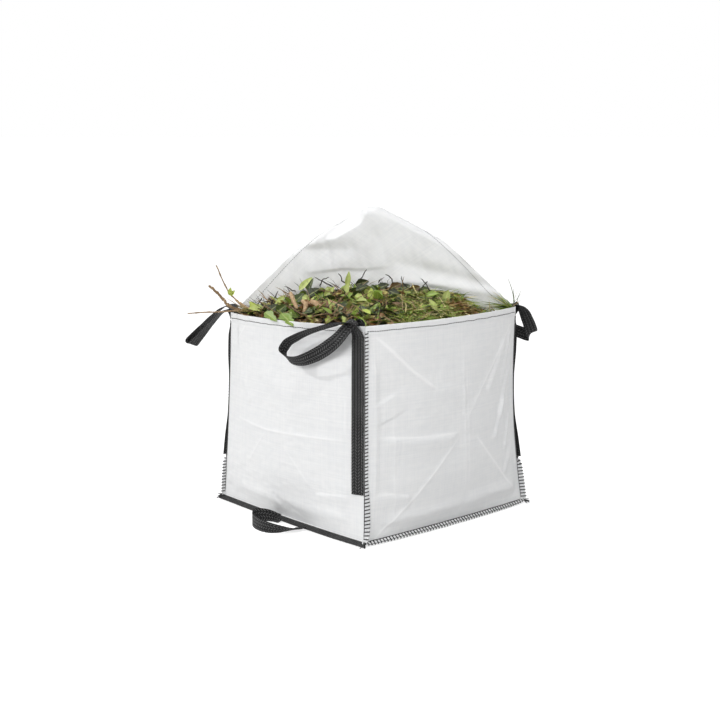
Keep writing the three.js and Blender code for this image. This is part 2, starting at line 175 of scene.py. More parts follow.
def join(shapes):
    """Several (points, faces) shapes as one, with each one's faces counted on."""
    points = [np.asarray(shape[0]).reshape(-1, 3) for shape in shapes]
    starts = np.cumsum([0] + [len(part) for part in points[:-1]])
    faces = [shape[1] + start for shape, start in zip(shapes, starts)]
    return np.concatenate(points), np.concatenate(faces)


def smooth_path(points, each=8):
    """A centripetal Catmull-Rom curve through points, `each` places per span, and their span numbers."""
    ends = np.concatenate([[2 * points[0] - points[1]], points, [2 * points[-1] - points[-2]]])
    a, b, c, d = ends[:-3], ends[1:-2], ends[2:-1], ends[3:]
    first = np.sqrt(np.linalg.norm(b - a, axis=1, keepdims=True))
    middle = np.sqrt(np.linalg.norm(c - b, axis=1, keepdims=True))
    last = np.sqrt(np.linalg.norm(d - c, axis=1, keepdims=True))
    leave = ((b - a) / first - (c - a) / (first + middle) + (c - b) / middle) * middle
    arrive = ((c - b) / middle - (d - b) / (middle + last) + (d - c) / last) * middle
    k = (np.arange(each) / each)[None, :, None]
    square = -3 * b + 3 * c - 2 * leave - arrive
    cube = 2 * b - 2 * c + leave + arrive
    curve = b[:, None] + leave[:, None] * k + square[:, None] * k ** 2 + cube[:, None] * k ** 3
    spans = np.arange(len(points) - 1)[:, None] + k[0, :, 0][None]
    return np.concatenate([curve.reshape(-1, 3), points[-1:]]), np.append(spans.ravel(), len(points) - 1)


BAND_END = 0.02     # share of its thickness that a band keeps at its ends
TUBE_END = 0.05     # share of its radius that a tube keeps at its ends


def band(centres, across, width, thickness):
    """A flat band: a rectangle with rounded edges carried along a path. Ends are drawn together."""
    along = unit(np.gradient(centres, axis=0))
    across = unit(across - along * (across * along).sum(axis=1, keepdims=True))
    face = unit(np.cross(across, along))
    width = np.broadcast_to(width, len(centres))[:, None]
    side = np.array([-1, -0.98, -0.9, -0.6, -0.3, 0, 0.3, 0.6, 0.9, 0.98, 1])
    over = np.array([0, 0.7, 1, 1, 1, 1, 1, 1, 1, 0.7, 0])
    u = np.concatenate([side, side[-2:0:-1]])
    w = np.concatenate([over, -over[-2:0:-1]])
    thick = np.full(len(centres), thickness)
    thick[[0, -1]] *= BAND_END
    points = (centres[:, None] + across[:, None] * (u[None] * width / 2)[..., None]
              + face[:, None] * (w[None] * thick[:, None] / 2)[..., None])
    run = np.concatenate([[0], np.cumsum(np.linalg.norm(np.diff(centres, axis=0), axis=1))])
    uv = np.stack(np.broadcast_arrays(u[None] * width / 2, run[:, None]), axis=-1)
    return points, grid_faces(len(centres), len(u), around=True)[:, ::-1], uv


def tubes(paths, radius, sides=6):
    """Round tubes along paths (count, steps, 3), closed at both ends by drawing the ends in."""
    count, steps = paths.shape[:2]
    along = unit(np.gradient(paths, axis=1))
    rough = np.where(np.abs(along[:, :1, 2:3]) > 0.8, [[[1.0, 0, 0]]], [[[0, 0, 1.0]]])
    first = unit(np.cross(along, np.broadcast_to(rough, along.shape)))
    second = np.cross(along, first)
    angle = np.arange(sides) * 2 * np.pi / sides
    ring = (first[:, :, None] * np.cos(angle)[:, None] + second[:, :, None] * np.sin(angle)[:, None])
    size = np.broadcast_to(radius, (count, steps)).copy()
    size[:, [0, -1]] *= TUBE_END
    points = paths[:, :, None] + ring * size[:, :, None, None]
    faces = repeat_faces(grid_faces(steps, sides, around=True), steps * sides, count)
    return points.reshape(-1, 3), faces


# The bag's own shape

def half_at(t):
    """Half the width at the corners, at a share t of the height."""
    return HALF - RIM_INSET * t


def bow_at(t):
    """Outward bow of a panel: a quarter sine up to the belly, then a slow S to the rim."""
    belly = np.sin(np.pi / 2 * np.clip(t / BELLY_AT, 0, 1))
    return BASE_BOW + (BELLY_BOW - BASE_BOW) * belly + (RIM_BOW - BELLY_BOW) * ease(BELLY_AT, 1, t)


def rim_at(x, y):
    """Height of the rim, which hangs down at the front left corner."""
    left = np.clip(0.5 - x / (2 * HALF), 0, 1)
    front = np.clip(0.5 - y / (2 * HALF), 0, 1)
    return HEIGHT - RIM_DIP * left * front


def turn(points, panel):
    """Points of the front panel's frame turned to another panel, a quarter turn for each."""
    cosine, sine = [(1, 0), (0, 1), (-1, 0), (0, -1)][panel % 4]
    x, y, z = points[..., 0], points[..., 1], points[..., 2]
    return np.stack([x * cosine - y * sine, x * sine + y * cosine, z], axis=-1)


def drawn_in(points, t):
    """Points moved inward near the corner seams, most at half height, where the filling strains them."""
    u = np.clip(points[..., 0] / HALF, -1, 1)
    v = np.clip(points[..., 1] / HALF, -1, 1)
    pull = (WAIST + WAIST_LEAN * (u + v) / 2) * np.sin(np.pi * np.clip(t, 0, 1))
    return points - np.stack([pull * u * v * v, pull * v * u * u, 0 * pull], axis=-1)


def wall(panel, s, t, outward=0.0):
    """A panel's surface: s from -1 to 1 across, t from 0 at the base seam to 1 at the rim."""
    s, t, outward = np.broadcast_arrays(np.asarray(s, float), np.asarray(t, float), outward)
    half = half_at(t)
    flat = np.stack([s * half, -half - bow_at(t) * (1 - s * s) - outward, np.zeros_like(s)], axis=-1)
    points = turn(flat, panel)
    points[..., 2] = SEAM_Z + t * (rim_at(points[..., 0], points[..., 1]) - SEAM_Z)
    return drawn_in(points, t)


def plan_at(u, v, half, bow):
    """A square with bowed sides in plan: u and v from -1 to 1."""
    return u * (half + bow * (1 - v * v)), v * (half + bow * (1 - u * u))


def corner_out(corner):
    """Outward along the diagonal at a corner."""
    return turn(np.array([DIAGONAL, -DIAGONAL, 0]), corner)


# Folds and creases of each panel: a path of (s, t) places, the height and the half width in
# millimetres, and a kind. A ridge is sharp, a soft one is round, a ledge stands out below its line.
CREASES = {
    "front": [
        ([(-0.85, 0.46), (-0.2, 0.44), (0.3, 0.45), (0.9, 0.46)], 1.2, 6, "ridge"),
        ([(0.42, 0.18), (0.97, 0.21)], 2.0, 10, "ledge"),
        ([(-0.22, 0.44), (-0.55, 0.24)], 0.6, 6, "ridge"),
        ([(0.08, 0.36), (0.4, 0.2)], 0.6, 6, "ridge"),
        ([(0.8, 0.66), (0.8, 0.48)], 0.8, 8, "ridge"),
        ([(-0.62, 0.97), (-0.9, 0.84)], 0.7, 9, "ridge"),
        ([(-0.8, 0.96), (-0.92, 0.9)], 0.5, 8, "ridge"),
        ([(-0.2, 0.03), (-0.28, 0.1)], -1.0, 9, "soft"),
        ([(-0.16, 0.12), (0.02, 0.05)], -1.2, 9, "soft"),
        ([(-0.1, 0.11), (0.12, 0.04)], -1.2, 9, "soft"),
        ([(0.0, 0.09), (0.26, 0.04)], -1.0, 9, "soft"),
        ([(-0.92, 0.1), (-0.2, 0.08), (0.3, 0.08), (0.95, 0.09)], 3.5, 24, "soft"),
        ([(-0.5, 0.8), (-0.1, 0.68), (0.3, 0.62)], 2.5, 40, "soft"),
        ([(-0.75, 0.7), (-0.5, 0.55)], 2.0, 20, "soft"),
    ],
    "right": [
        ([(-0.95, 0.975), (-0.52, 0.77), (-0.22, 0.66)], 4.0, 14, "ridge"),
        ([(-0.92, 0.48), (-0.41, 0.452), (0.12, 0.44)], 1.0, 6, "ridge"),
        ([(0.1, 0.47), (0.97, 0.96)], 1.0, 8, "ridge"),
        ([(-0.9, 0.48), (-0.41, 0.45), (0.06, 0.44)], 4.0, 16, "ledge"),
        ([(-0.9, 0.22), (-0.5, 0.18)], 3.2, 14, "ledge"),
        ([(-1.02, -0.05), (-0.5, 0.16), (-0.34, 0.24), (0.1, 0.45)], 1.5, 6, "ridge"),
        ([(0.25, 0.42), (0.93, 0.045)], 1.8, 9, "ridge"),
        ([(0.12, 0.9), (0.13, 0.1)], 0.7, 8, "ridge"),
        ([(0.17, 0.8), (0.18, 0.12)], 0.7, 8, "ridge"),
        ([(-0.73, 0.66), (-0.7, 0.04)], 0.7, 8, "ridge"),
        ([(-0.82, 0.66), (-0.74, 0.55)], 3.5, 45, "soft"),
        ([(-0.92, 0.92), (-0.9, 0.5), (-0.91, 0.1)], 3.0, 13, "soft"),
        ([(0.82, 0.86), (0.46, 0.58)], 3.0, 16, "soft"),
        ([(0.94, 0.74), (0.66, 0.44)], 3.2, 14, "soft"),
        ([(0.9, 0.9), (0.74, 0.62)], 2.4, 10, "soft"),
        ([(0.8, 0.58), (0.56, 0.34)], 2.8, 12, "soft"),
        ([(0.92, 0.5), (0.74, 0.28)], 3.0, 10, "soft"),
        ([(0.92, 0.34), (0.72, 0.15)], 2.8, 12, "soft"),
        ([(0.1, 0.08), (0.5, 0.09), (0.95, 0.08)], 5.5, 24, "soft"),
        ([(-0.85, 0.07), (-0.3, 0.075), (0.2, 0.08)], 4.0, 20, "soft"),
        ([(-0.3, 0.68), (0.2, 0.6)], 2.0, 25, "soft"),
    ],
    "back": [
        ([(-0.85, 0.46), (-0.1, 0.44), (0.86, 0.46)], 2.6, 10, "ridge"),
        ([(-0.8, 0.2), (-0.3, 0.19), (0.2, 0.2)], 3.0, 14, "ledge"),
        ([(-0.6, 0.88), (-0.2, 0.68), (0.05, 0.56)], 3.0, 13, "ridge"),
        ([(0.75, 0.84), (0.42, 0.55)], 4.5, 18, "soft"),
        ([(0.84, 0.62), (0.6, 0.4)], 4.0, 15, "soft"),
        ([(-0.84, 0.7), (-0.58, 0.42)], 4.0, 16, "soft"),
        ([(0.1, 0.9), (0.1, 0.1)], 0.8, 8, "ridge"),
        ([(-0.85, 0.09), (0, 0.1), (0.85, 0.09)], 8.0, 24, "soft"),
    ],
    "left": [
        ([(-0.85, 0.46), (0.1, 0.44), (0.86, 0.45)], 2.6, 10, "ridge"),
        ([(0.1, 0.2), (0.8, 0.18)], 3.0, 14, "ledge"),
        ([(0.6, 0.86), (0.25, 0.7), (0.0, 0.58)], 3.0, 13, "ridge"),
        ([(-0.8, 0.84), (-0.5, 0.56)], 4.5, 18, "soft"),
        ([(-0.9, 0.6), (-0.66, 0.36)], 4.0, 15, "soft"),
        ([(-0.4, 0.36), (-0.82, 0.08)], 1.8, 9, "ridge"),
        ([(-0.1, 0.9), (-0.1, 0.1)], 0.8, 8, "ridge"),
        ([(-0.85, 0.09), (0, 0.1), (0.85, 0.09)], 8.0, 24, "soft"),
    ],
}
FOLD_GAIN = 1.8     # how strongly the folds stand out
FOLD_FADE = 0.18    # share of a fold's length over which each end fades out
# Sides of each panel, -1 left and 1 right, on which webbing is sewn, so that the cloth is flat there.
SEWN_SIDES = {"front": [1], "right": [], "back": [-1, 1], "left": [1]}
# Waves of every panel: height, side of the noise's cells, stretch across, shifts across and up, and seed.
WAVES = [
    (0.0024, 0.13, 1, 2, 1, 1),
    (0.0009, 0.045, 1, 3, 2, 2),
    (0.00035, 0.016, 1, 4, 4, 3),
    (0.0006, 0.013, 0.35, 6, 6, 5),
]


def crease(x, z, path, height, width, kind):
    """Relief of one fold: by the distance to its path, fading out toward the path's two ends."""
    places = np.array(path) * [HALF, WALL]
    nearest = np.full(x.shape, 9.0)
    signed = np.zeros(x.shape)
    share = np.zeros(x.shape)
    spans = len(places) - 1
    for index in range(spans):
        start, step = places[index], places[index + 1] - places[index]
        length = np.hypot(*step)
        k = np.clip(((x - start[0]) * step[0] + (z - start[1]) * step[1]) / length ** 2, 0, 1)
        off_x, off_z = x - start[0] - k * step[0], z - start[1] - k * step[1]
        distance = np.hypot(off_x, off_z)
        closer = distance < nearest
        side = np.sign(off_x * step[1] - off_z * step[0]) * np.sign(step[0] + 1e-9)
        signed = np.where(closer, side * distance, signed)
        share = np.where(closer, (index + k) / spans, share)
        nearest = np.where(closer, distance, nearest)
    fade = ease(0, FOLD_FADE, share) * ease(0, FOLD_FADE, 1 - share)
    reach = nearest / (width / 1000)
    shape = {
        "ridge": np.exp(-reach * 1.2),
        "soft": np.exp(-reach ** 2),
        "ledge": np.where(signed > 0, reach * np.exp(1 - reach), 0),
    }[kind]
    return FOLD_GAIN * height / 1000 * fade * shape


def relief(panel, s, t):
    """How far a panel's cloth stands out from its smooth shape: folds, waves and seam puckers."""
    s, t = np.broadcast_arrays(np.asarray(s, float), np.asarray(t, float))
    name = PANELS[panel % 4]
    x, z = s * HALF, t * WALL
    seed = 10 * (panel % 4)
    height = sum(crease(x, z, *fold) for fold in CREASES[name])
    for wave, cell, stretch, across, up, own_seed in WAVES:
        height = height + wave * noise(x * stretch + across, z + up, cell, seed + own_seed)
    from_side = HALF - np.abs(x)
    pucker = noise(z + 5, np.sign(x) + 3.0, 0.021, seed + 4) * np.exp(-((from_side - 0.022) / 0.02) ** 2)
    height = height + 0.0016 * pucker
    height = height * ease(0.002, 0.035, from_side) * ease(0, 0.03, z)
    for side in SEWN_SIDES[name]:
        height = height * ease(0.035, 0.085, HALF - side * x)
    return height * (1 - 0.65 * ease(WALL - 0.09, WALL - 0.02, z))


def painted_crease_highlight(panel, s, t):
    """How much painted highlight lies along the sharp folds, standing in for light on their crests: full on
    a strong one, less on a faint one.
    """
    lines = [
        min(height / 2, 1) * crease(s * HALF, t * WALL, path, 1000 / FOLD_GAIN, 2.6 + height / 2, "soft")
        for path, height, _, kind in CREASES[PANELS[panel]] if kind == "ridge"
    ]
    return np.clip(sum(lines), 0, 1)


def cloth_at(panel, s, t, over=0.0):
    """The panel's cloth with its folds, and a place `over` metres outside it."""
    return wall(panel, s, t, relief(panel, s, t) + over)


# Nodes of materials

def node(tree, kind, inputs=None, **settings):
    """A node with its settings, and its inputs set or linked."""
    made = tree.nodes.new(kind)
    for key, value in settings.items():
        setattr(made, key, value)
    for key, value in (inputs or {}).items():
        if isinstance(value, bpy.types.NodeSocket):
            tree.links.new(value, made.inputs[key])
        else:
            made.inputs[key].default_value = value
    return made


def number(tree, operation, first, second=0.0):
    """The result of a math node."""
    return node(tree, "ShaderNodeMath", {0: first, 1: second}, operation=operation).outputs[0]


def weighted(tree, *parts):
    """The sum of values, each times its weight."""
    total = None
    for value, weight in parts:
        part = number(tree, "MULTIPLY", value, weight)
        total = part if total is None else number(tree, "ADD", total, part)
    return total


def between(tree, share, low, high, blend="MIX"):
    """A colour from low to high by a share. Each of the two is a colour or a socket."""
    ends = {"A": low, "B": high}
    for key, end in ends.items():
        if not isinstance(end, bpy.types.NodeSocket):
            ends[key] = (*end, 1)
    mix = node(tree, "ShaderNodeMix", {"Factor": share, **ends}, data_type="RGBA", blend_type=blend)
    return mix.outputs["Result"]


def ranged(tree, value, low, high, to_low, to_high):
    """A value moved from one range to another, and kept inside it."""
    inputs = {"Value": value, "From Min": low, "From Max": high, "To Min": to_low, "To Max": to_high}
    return node(tree, "ShaderNodeMapRange", inputs).outputs["Result"]


def speckle(tree, place, scale, detail=2.0, distortion=0.0):
    """Noise in space, from 0 to 1."""
    inputs = {"Vector": place, "Scale": scale, "Detail": detail, "Distortion": distortion}
    return node(tree, "ShaderNodeTexNoise", inputs).outputs["Fac"]


def cut_place(tree):
    """Places on a piece's flat cut."""
    return node(tree, "ShaderNodeUVMap", uv_map="cut").outputs["UV"]


def space_place(tree):
    """Places in the bag's frame."""
    return node(tree, "ShaderNodeTexCoord").outputs["Object"]


def new_group(name, inputs, outputs):
    """An empty node group with named sockets, its entry and its exit."""
    group = bpy.data.node_groups.new(name, "ShaderNodeTree")
    for socket, kind in inputs:
        group.interface.new_socket(socket, in_out="INPUT", socket_type=kind)
    for socket in outputs:
        group.interface.new_socket(socket, in_out="OUTPUT", socket_type="NodeSocketFloat")
    return group, group.nodes.new("NodeGroupInput").outputs, group.nodes.new("NodeGroupOutput").inputs


def tape_weave():
    """Plain weave of flat tapes: over and under change like a chequer, and each tape has its tone."""
    sockets = [("Place", "NodeSocketVector"), ("Tapes per metre", "NodeSocketFloat")]
    group, entry, leave = new_group("tape weave", sockets, ["Height", "Tone"])
    scaled = node(group, "ShaderNodeVectorMath", {0: entry[0], "Scale": entry[1]}, operation="SCALE")
    cells = scaled.outputs[0]
    split = node(group, "ShaderNodeSeparateXYZ", {0: cells}).outputs
    chequer = node(group, "ShaderNodeTexChecker", {"Vector": cells, "Scale": 1.0}).outputs["Fac"]
    warp = number(group, "PINGPONG", split[0], 0.5)
    weft = number(group, "PINGPONG", split[1], 0.5)
    high = node(group, "ShaderNodeMix", {"Factor": chequer, "A": warp, "B": weft}, data_type="FLOAT")
    group.links.new(high.outputs["Result"], leave["Height"])
    tones = []
    for axis in (0, 1):
        tape = number(group, "FLOOR", split[axis])
        tone = node(group, "ShaderNodeTexWhiteNoise", {"W": tape}, noise_dimensions="1D")
        tones.append(tone.outputs["Value"])
    group.links.new(number(group, "MULTIPLY", number(group, "ADD", *tones), 0.5), leave["Tone"])
    return group


def herringbone():
    """Twill that turns back at each column: slanted lines whose slant changes from rib to rib."""
    sockets = [("Place", "NodeSocketVector"), ("Column", "NodeSocketFloat"), ("Pitch", "NodeSocketFloat")]
    group, entry, leave = new_group("herringbone", sockets, ["Height", "Glint"])
    split = node(group, "ShaderNodeSeparateXYZ", {0: entry["Place"]}).outputs
    slant = number(group, "PINGPONG", number(group, "ADD", split[0], WEBBING_WIDTH / 2), entry["Column"])
    line = number(group, "DIVIDE", number(group, "ADD", split[1], slant), entry["Pitch"])
    rib = number(group, "PINGPONG", line, 0.5)
    gap = number(group, "DIVIDE", slant, entry["Column"])
    edge = number(group, "MULTIPLY", number(group, "PINGPONG", gap, 0.5), 4.0)
    high = number(group, "MULTIPLY", rib, number(group, "MINIMUM", edge, 1.0))
    group.links.new(high, leave["Height"])
    lit = ranged(group, high, 0.22, 0.45, 0.0, 1.0)
    dust = speckle(group, entry["Place"], 260.0)
    group.links.new(number(group, "MULTIPLY", lit, dust), leave["Glint"])
    return group


def soiling():
    """Patches of tone at two sizes, for wear and dust."""
    sockets = [("Place", "NodeSocketVector"), ("Size", "NodeSocketFloat")]
    group, entry, leave = new_group("soiling", sockets, ["Mask"])
    large = speckle(group, entry[0], entry[1], 4.0)
    fine = speckle(group, entry[0], number(group, "MULTIPLY", entry[1], 9.0), 3.0)
    both = number(group, "MULTIPLY", large, fine)
    group.links.new(ranged(group, both, 0.12, 0.42, 0.0, 1.0), leave["Mask"])
    return group


TAPE_WEAVE = tape_weave()
HERRINGBONE = herringbone()
SOILING = soiling()


def new_material(name, roughness=0.5):
    """A material with its tree and its Principled shader at one roughness."""
    material = bpy.data.materials.new(name)
    material.use_nodes = True
    shader = material.node_tree.nodes["Principled BSDF"]
    shader.inputs["Roughness"].default_value = roughness
    return material, material.node_tree, shader


def add_bump(tree, shader, height, strength, distance):
    """A bump from a height to the shader's normal."""
    bump = node(tree, "ShaderNodeBump", {"Height": height, "Strength": strength, "Distance": distance})
    tree.links.new(bump.outputs["Normal"], shader.inputs["Normal"])


def grouped(tree, group, inputs):
    """A group placed in a material."""
    return node(tree, "ShaderNodeGroup", inputs, node_tree=group).outputs


def cloth_material(name, light, dark, crease_highlight_colour):
    """Woven plastic: tape weave bump, tape tones, long streaks both ways, faint soiling, and a painted
    highlight along the sharp folds.
    """
    material, tree, shader = new_material(name)
    shader.inputs["Specular IOR Level"].default_value = 0.35
    place = cut_place(tree)
    weave = grouped(tree, TAPE_WEAVE, {"Place": place, "Tapes per metre": 420.0})
    streaks = []
    for scale in ((260.0, 9.0, 1.0), (9.0, 260.0, 1.0)):
        stretched = node(tree, "ShaderNodeMapping", {"Vector": place, "Scale": scale}).outputs[0]
        streaks.append(speckle(tree, stretched, 1.0))
    streak = number(tree, "MULTIPLY", number(tree, "ADD", *streaks), 0.5)
    soil = grouped(tree, SOILING, {"Place": place, "Size": 5.0})["Mask"]
    tone = weighted(tree, (weave["Tone"], 0.25), (streak, 0.6), (soil, 0.2))
    plain = between(tree, ranged(tree, tone, 0.3, 0.75, 1.0, 0.0), light, dark)
    # The tint attribute gives the share of painted highlight from the sharp folds, mixed over the plain
    # cloth colour.
    crease_highlight_share = node(tree, "ShaderNodeAttribute", attribute_name="tint").outputs["Fac"]
    tree.links.new(between(tree, crease_highlight_share, plain, crease_highlight_colour), shader.inputs["Base Color"])
    tree.links.new(ranged(tree, streak, 0.35, 0.65, 0.40, 0.58), shader.inputs["Roughness"])
    add_bump(tree, shader, weighted(tree, (weave["Height"], 0.6), (streak, 0.9)), 0.35, 0.0008)
    return material


def webbing_material(name, column, pitch):
    """Black webbing: herringbone ribs, glints on their crests and a little dust."""
    material, tree, shader = new_material(name)
    shader.inputs["Specular IOR Level"].default_value = 0.15
    place = cut_place(tree)
    rib = grouped(tree, HERRINGBONE, {"Place": place, "Column": column, "Pitch": pitch})
    dust = grouped(tree, SOILING, {"Place": place, "Size": 14.0})["Mask"]
    lit = number(tree, "ADD", rib["Glint"], number(tree, "MULTIPLY", dust, 0.10))
    tone = between(tree, lit, (0.006, 0.006, 0.0063), (0.22, 0.22, 0.22))
    tree.links.new(tone, shader.inputs["Base Color"])
    tree.links.new(ranged(tree, rib["Glint"], 0, 0.6, 0.7, 0.45), shader.inputs["Roughness"])
    add_bump(tree, shader, rib["Height"], 0.7, 0.0016)
    return material


def thread_material():
    """Black spun thread: fine slanted ply lines."""
    material, tree, shader = new_material("black thread", 0.6)
    inputs = {"Vector": space_place(tree), "Scale": 420.0, "Distortion": 2.0}
    ply = node(tree, "ShaderNodeTexWave", inputs, bands_direction="DIAGONAL").outputs["Fac"]
    tone = between(tree, ply, (0.010, 0.010, 0.010), (0.035, 0.035, 0.036))
    tree.links.new(tone, shader.inputs["Base Color"])
    add_bump(tree, shader, ply, 0.5, 0.0004)
    return material


def plant_material(name, roughness, vein):
    """Leaves and blades: the piece's own tint, a pale midrib, side veins and mottling."""
    material, tree, shader = new_material(name, roughness)
    tint = node(tree, "ShaderNodeAttribute", attribute_name="tint").outputs["Color"]
    split = node(tree, "ShaderNodeSeparateXYZ", {0: cut_place(tree)}).outputs
    aside = number(tree, "ABSOLUTE", split[0])
    midrib = ranged(tree, aside, 0.0, 0.16, vein, 0.0)
    slanted = weighted(tree, (split[1], 9.0), (aside, -2.2))
    veins = ranged(tree, number(tree, "PINGPONG", slanted, 0.5), 0.0, 0.1, vein * 0.5, 0.0)
    pale = number(tree, "MAXIMUM", midrib, veins)
    spots = speckle(tree, space_place(tree), 90.0, 4.0)
    mottling = ranged(tree, spots, 0.35, 0.7, 0.0, 0.45)
    mottled = between(tree, mottling, tint, (0.55, 0.52, 0.35), "MULTIPLY")
    veined = between(tree, pale, mottled, colour(205, 210, 140))
    tree.links.new(veined, shader.inputs["Base Color"])
    add_bump(tree, shader, number(tree, "SUBTRACT", spots, pale), 0.4, 0.0015)
    return material


def mound_material():
    """The heap under the leaves: rotting brown, darker in its hollows as painted shade, and green shreds."""
    material, tree, shader = new_material("rotting clippings", 0.9)
    place = space_place(tree)
    clods = speckle(tree, place, 38.0, 6.0)
    shreds = speckle(tree, place, 120.0, 5.0, 2.5)
    # Painted shade: the brown darkens where the clods' bump is low, in the hollows.
    brown = between(tree, ranged(tree, clods, 0.35, 0.65, 0, 1), colour(38, 29, 16), colour(116, 90, 52))
    mixed = between(tree, ranged(tree, shreds, 0.52, 0.6, 0, 0.8), brown, colour(88, 104, 36))
    tree.links.new(mixed, shader.inputs["Base Color"])
    add_bump(tree, shader, number(tree, "ADD", clods, shreds), 1.0, 0.012)
    return material


def fibre_material(name, light, dark):
    """Bark, bare wood or rough thread: fine ridges and patches of tone."""
    material, tree, shader = new_material(name, 0.8)
    place = space_place(tree)
    ridges = speckle(tree, place, 160.0, 5.0, 1.5)
    patch = grouped(tree, SOILING, {"Place": place, "Size": 22.0})["Mask"]
    lit = ranged(tree, ridges, 0.3, 0.7, 0, 1)
    tone = number(tree, "MULTIPLY", lit, number(tree, "ADD", patch, 0.35))
    tree.links.new(between(tree, tone, dark, light), shader.inputs["Base Color"])
    add_bump(tree, shader, ridges, 0.9, 0.003)
    return material


# The third colour is the painted highlight along the sharp folds.
CLOTH = cloth_material("white woven plastic", (0.90, 0.90, 0.895), (0.80, 0.81, 0.82), (0.985, 0.985, 0.985))
WEBBING = webbing_material("black webbing", 0.0113, 0.0100)
BINDING = webbing_material("black ribbed binding", 0.004, 0.006)
THREAD = thread_material()
LEG_THREAD = fibre_material("grey thread", (0.30, 0.30, 0.30), (0.12, 0.12, 0.12))
LEAF = plant_material("leaves", 0.42, 0.5)
BLADE = plant_material("grass and straw", 0.55, 0.2)
MOUND = mound_material()
BARK = fibre_material("grey brown bark", colour(194, 166, 128), colour(112, 86, 60))
TWIG = fibre_material("dark twigs", colour(52, 41, 30), colour(12, 10, 8))
WOOD = fibre_material("tan bare wood", colour(214, 188, 150), colour(150, 114, 80))

# Side panels
HEM = 0.030             # depth of the hem inside the rim
HEM_THICK = 0.0016      # how far its double cloth stands out
HEM_INSIDE = -0.0012    # its inner layer, from the panel's middle
HEM_TURN = 0.0014       # how far its turn rises over the rim
HEM_ROWS = 9
CLOTH_OVER = 0.0006     # the cloth's outer face, from the panel's middle
PANEL_COLUMNS = 241
PANEL_ROWS = 225


def panel_surface(panel):
    """A panel's cloth up to the rim, over it in a tight turn, and down inside as its hem."""
    s = np.linspace(-1, 1, PANEL_COLUMNS)[None, :]
    up = np.linspace(0, 1, PANEL_ROWS)
    turning = np.linspace(0, np.pi, 7)[1:-1]
    down = 1 - np.linspace(0, HEM / WALL, HEM_ROWS)
    t = np.concatenate([up, 1 + np.sin(turning) * HEM_TURN / WALL, down])[:, None]
    outer = CLOTH_OVER + HEM_THICK * ease(HEM + 0.002, HEM - 0.001, (1 - up) * WALL)
    inner = np.full(HEM_ROWS, HEM_INSIDE)
    rounded = (outer[-1] + inner[0]) / 2 + (outer[-1] - inner[0]) / 2 * np.cos(turning)
    over = np.concatenate([outer, rounded, inner])[:, None]
    fold = relief(panel, s, np.minimum(t, 1))
    points = wall(panel, s, t, fold + over)
    uv = np.stack(np.broadcast_arrays(s * HALF, t * WALL), axis=-1)
    # Painted highlight along the ridge creases, carried to the cloth's colour by the tint attribute.
    white = painted_crease_highlight(panel, *np.broadcast_arrays(s, t))
    return points, grid_faces(len(t), PANEL_COLUMNS), uv, np.stack([white, white, white], axis=-1)


for index, panel_name in enumerate(PANELS):
    points, faces, uv, white = panel_surface(index)
    cloth = make_piece(f"{panel_name}_cloth", points, faces, CLOTH, "cloth", uv, white)
    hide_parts(f"{panel_name}_panel")

# Base
BASE_CELLS = 121
BASE_OVER = 0.0006      # lowest place of the base's cloth over the ground
SEAM_UNDER = 0.0012     # from the base seam down to the base's cloth


def base_surface():
    """The base: flat on the ground and rising to its seam, with a faint wave, in plan a bowed square."""
    line = np.linspace(-1, 1, BASE_CELLS)
    u, v = np.meshgrid(line, line)
    x, y = plan_at(u, v, HALF, BASE_BOW)
    edge = np.maximum(np.abs(u), np.abs(v))
    rise = (SEAM_Z - SEAM_UNDER) * ease(1 - EDGE_BAND / HALF, 1, edge)
    z = BASE_OVER + rise + 0.0006 * (1 + noise(x, y, 0.05, 5)) * ease(1, 0.9, edge)
    points = np.stack([x, y, z], axis=-1)
    return points, grid_faces(BASE_CELLS, BASE_CELLS)[:, ::-1], np.stack([x, y], axis=-1)


points, faces, uv = base_surface()
base_cloth = make_piece("base_cloth", points, faces, CLOTH, "cloth", uv)
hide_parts("base_panel")

# Seam allowances: a doubled band of cloth along each seam, with whip stitches over its edge.
FIN_THICK = 0.0016
WHIP_RADIUS = 0.0018
ROW_LIFT = FIN_THICK / 2 + 0.0006    # from an allowance's middle to a thread that lies on it
# How the allowance of each corner lies: its turn in degrees from straight out, and the shares of the
# height between which it turns.
CORNER_LAYS = [(108, -0.06, 0.1), (115, 0.15, 0.25), (-115, 0.15, 0.25), (-115, 0.15, 0.25)]
CORNER_STEPS = 161
CORNER_WHIPS = 58
BASE_STEPS = 141
BASE_WHIPS = 57
TUFT_STRANDS = 9
# Half the length of each base allowance, as a share of half a side.
BASE_REACH = [1.01, 1.034, 1.034, 1.034]


def whip(edge_from, edge_to, face, lean):
    """Whip stitches over a band's edge: up one face, round the edge and down the other face."""
    lift = face * (FIN_THICK / 2 + WHIP_RADIUS * 0.6)
    half = edge_from + (edge_to - edge_from) * 0.5
    beyond = edge_to + unit(edge_to - edge_from) * WHIP_RADIUS * 0.6
    up = [edge_from + lift * 0.4, edge_from + lift, half + lift + lean * 0.5, edge_to + lift + lean]
    down = [edge_to - lift + lean, half - lift + lean * 1.5, edge_from - lift + lean * 2,
            edge_from - lift * 0.4 + lean * 2]
    return tubes(np.stack([*up, beyond + lean, *down], axis=1), WHIP_RADIUS)


def thread_line(places, radius):
    """One long thread through places."""
    return tubes(places[None], radius)


def corner_fin_frames(corner, t):
    """Root and direction of a corner's allowance: straight out below, laid over sideways above."""
    lay, low, high = CORNER_LAYS[corner]
    wave = 12 * noise(t * 6 + corner, t * 0 + 3.5, 0.55, 40 + corner)
    angle = np.radians(lay * ease(low, high, t) + wave)
    out = corner_out(corner)
    x = out[0] * np.cos(angle) - out[1] * np.sin(angle)
    y = out[0] * np.sin(angle) + out[1] * np.cos(angle)
    return wall(corner, 1, t) + out * 0.001, np.stack([x, y, 0 * angle], axis=-1)


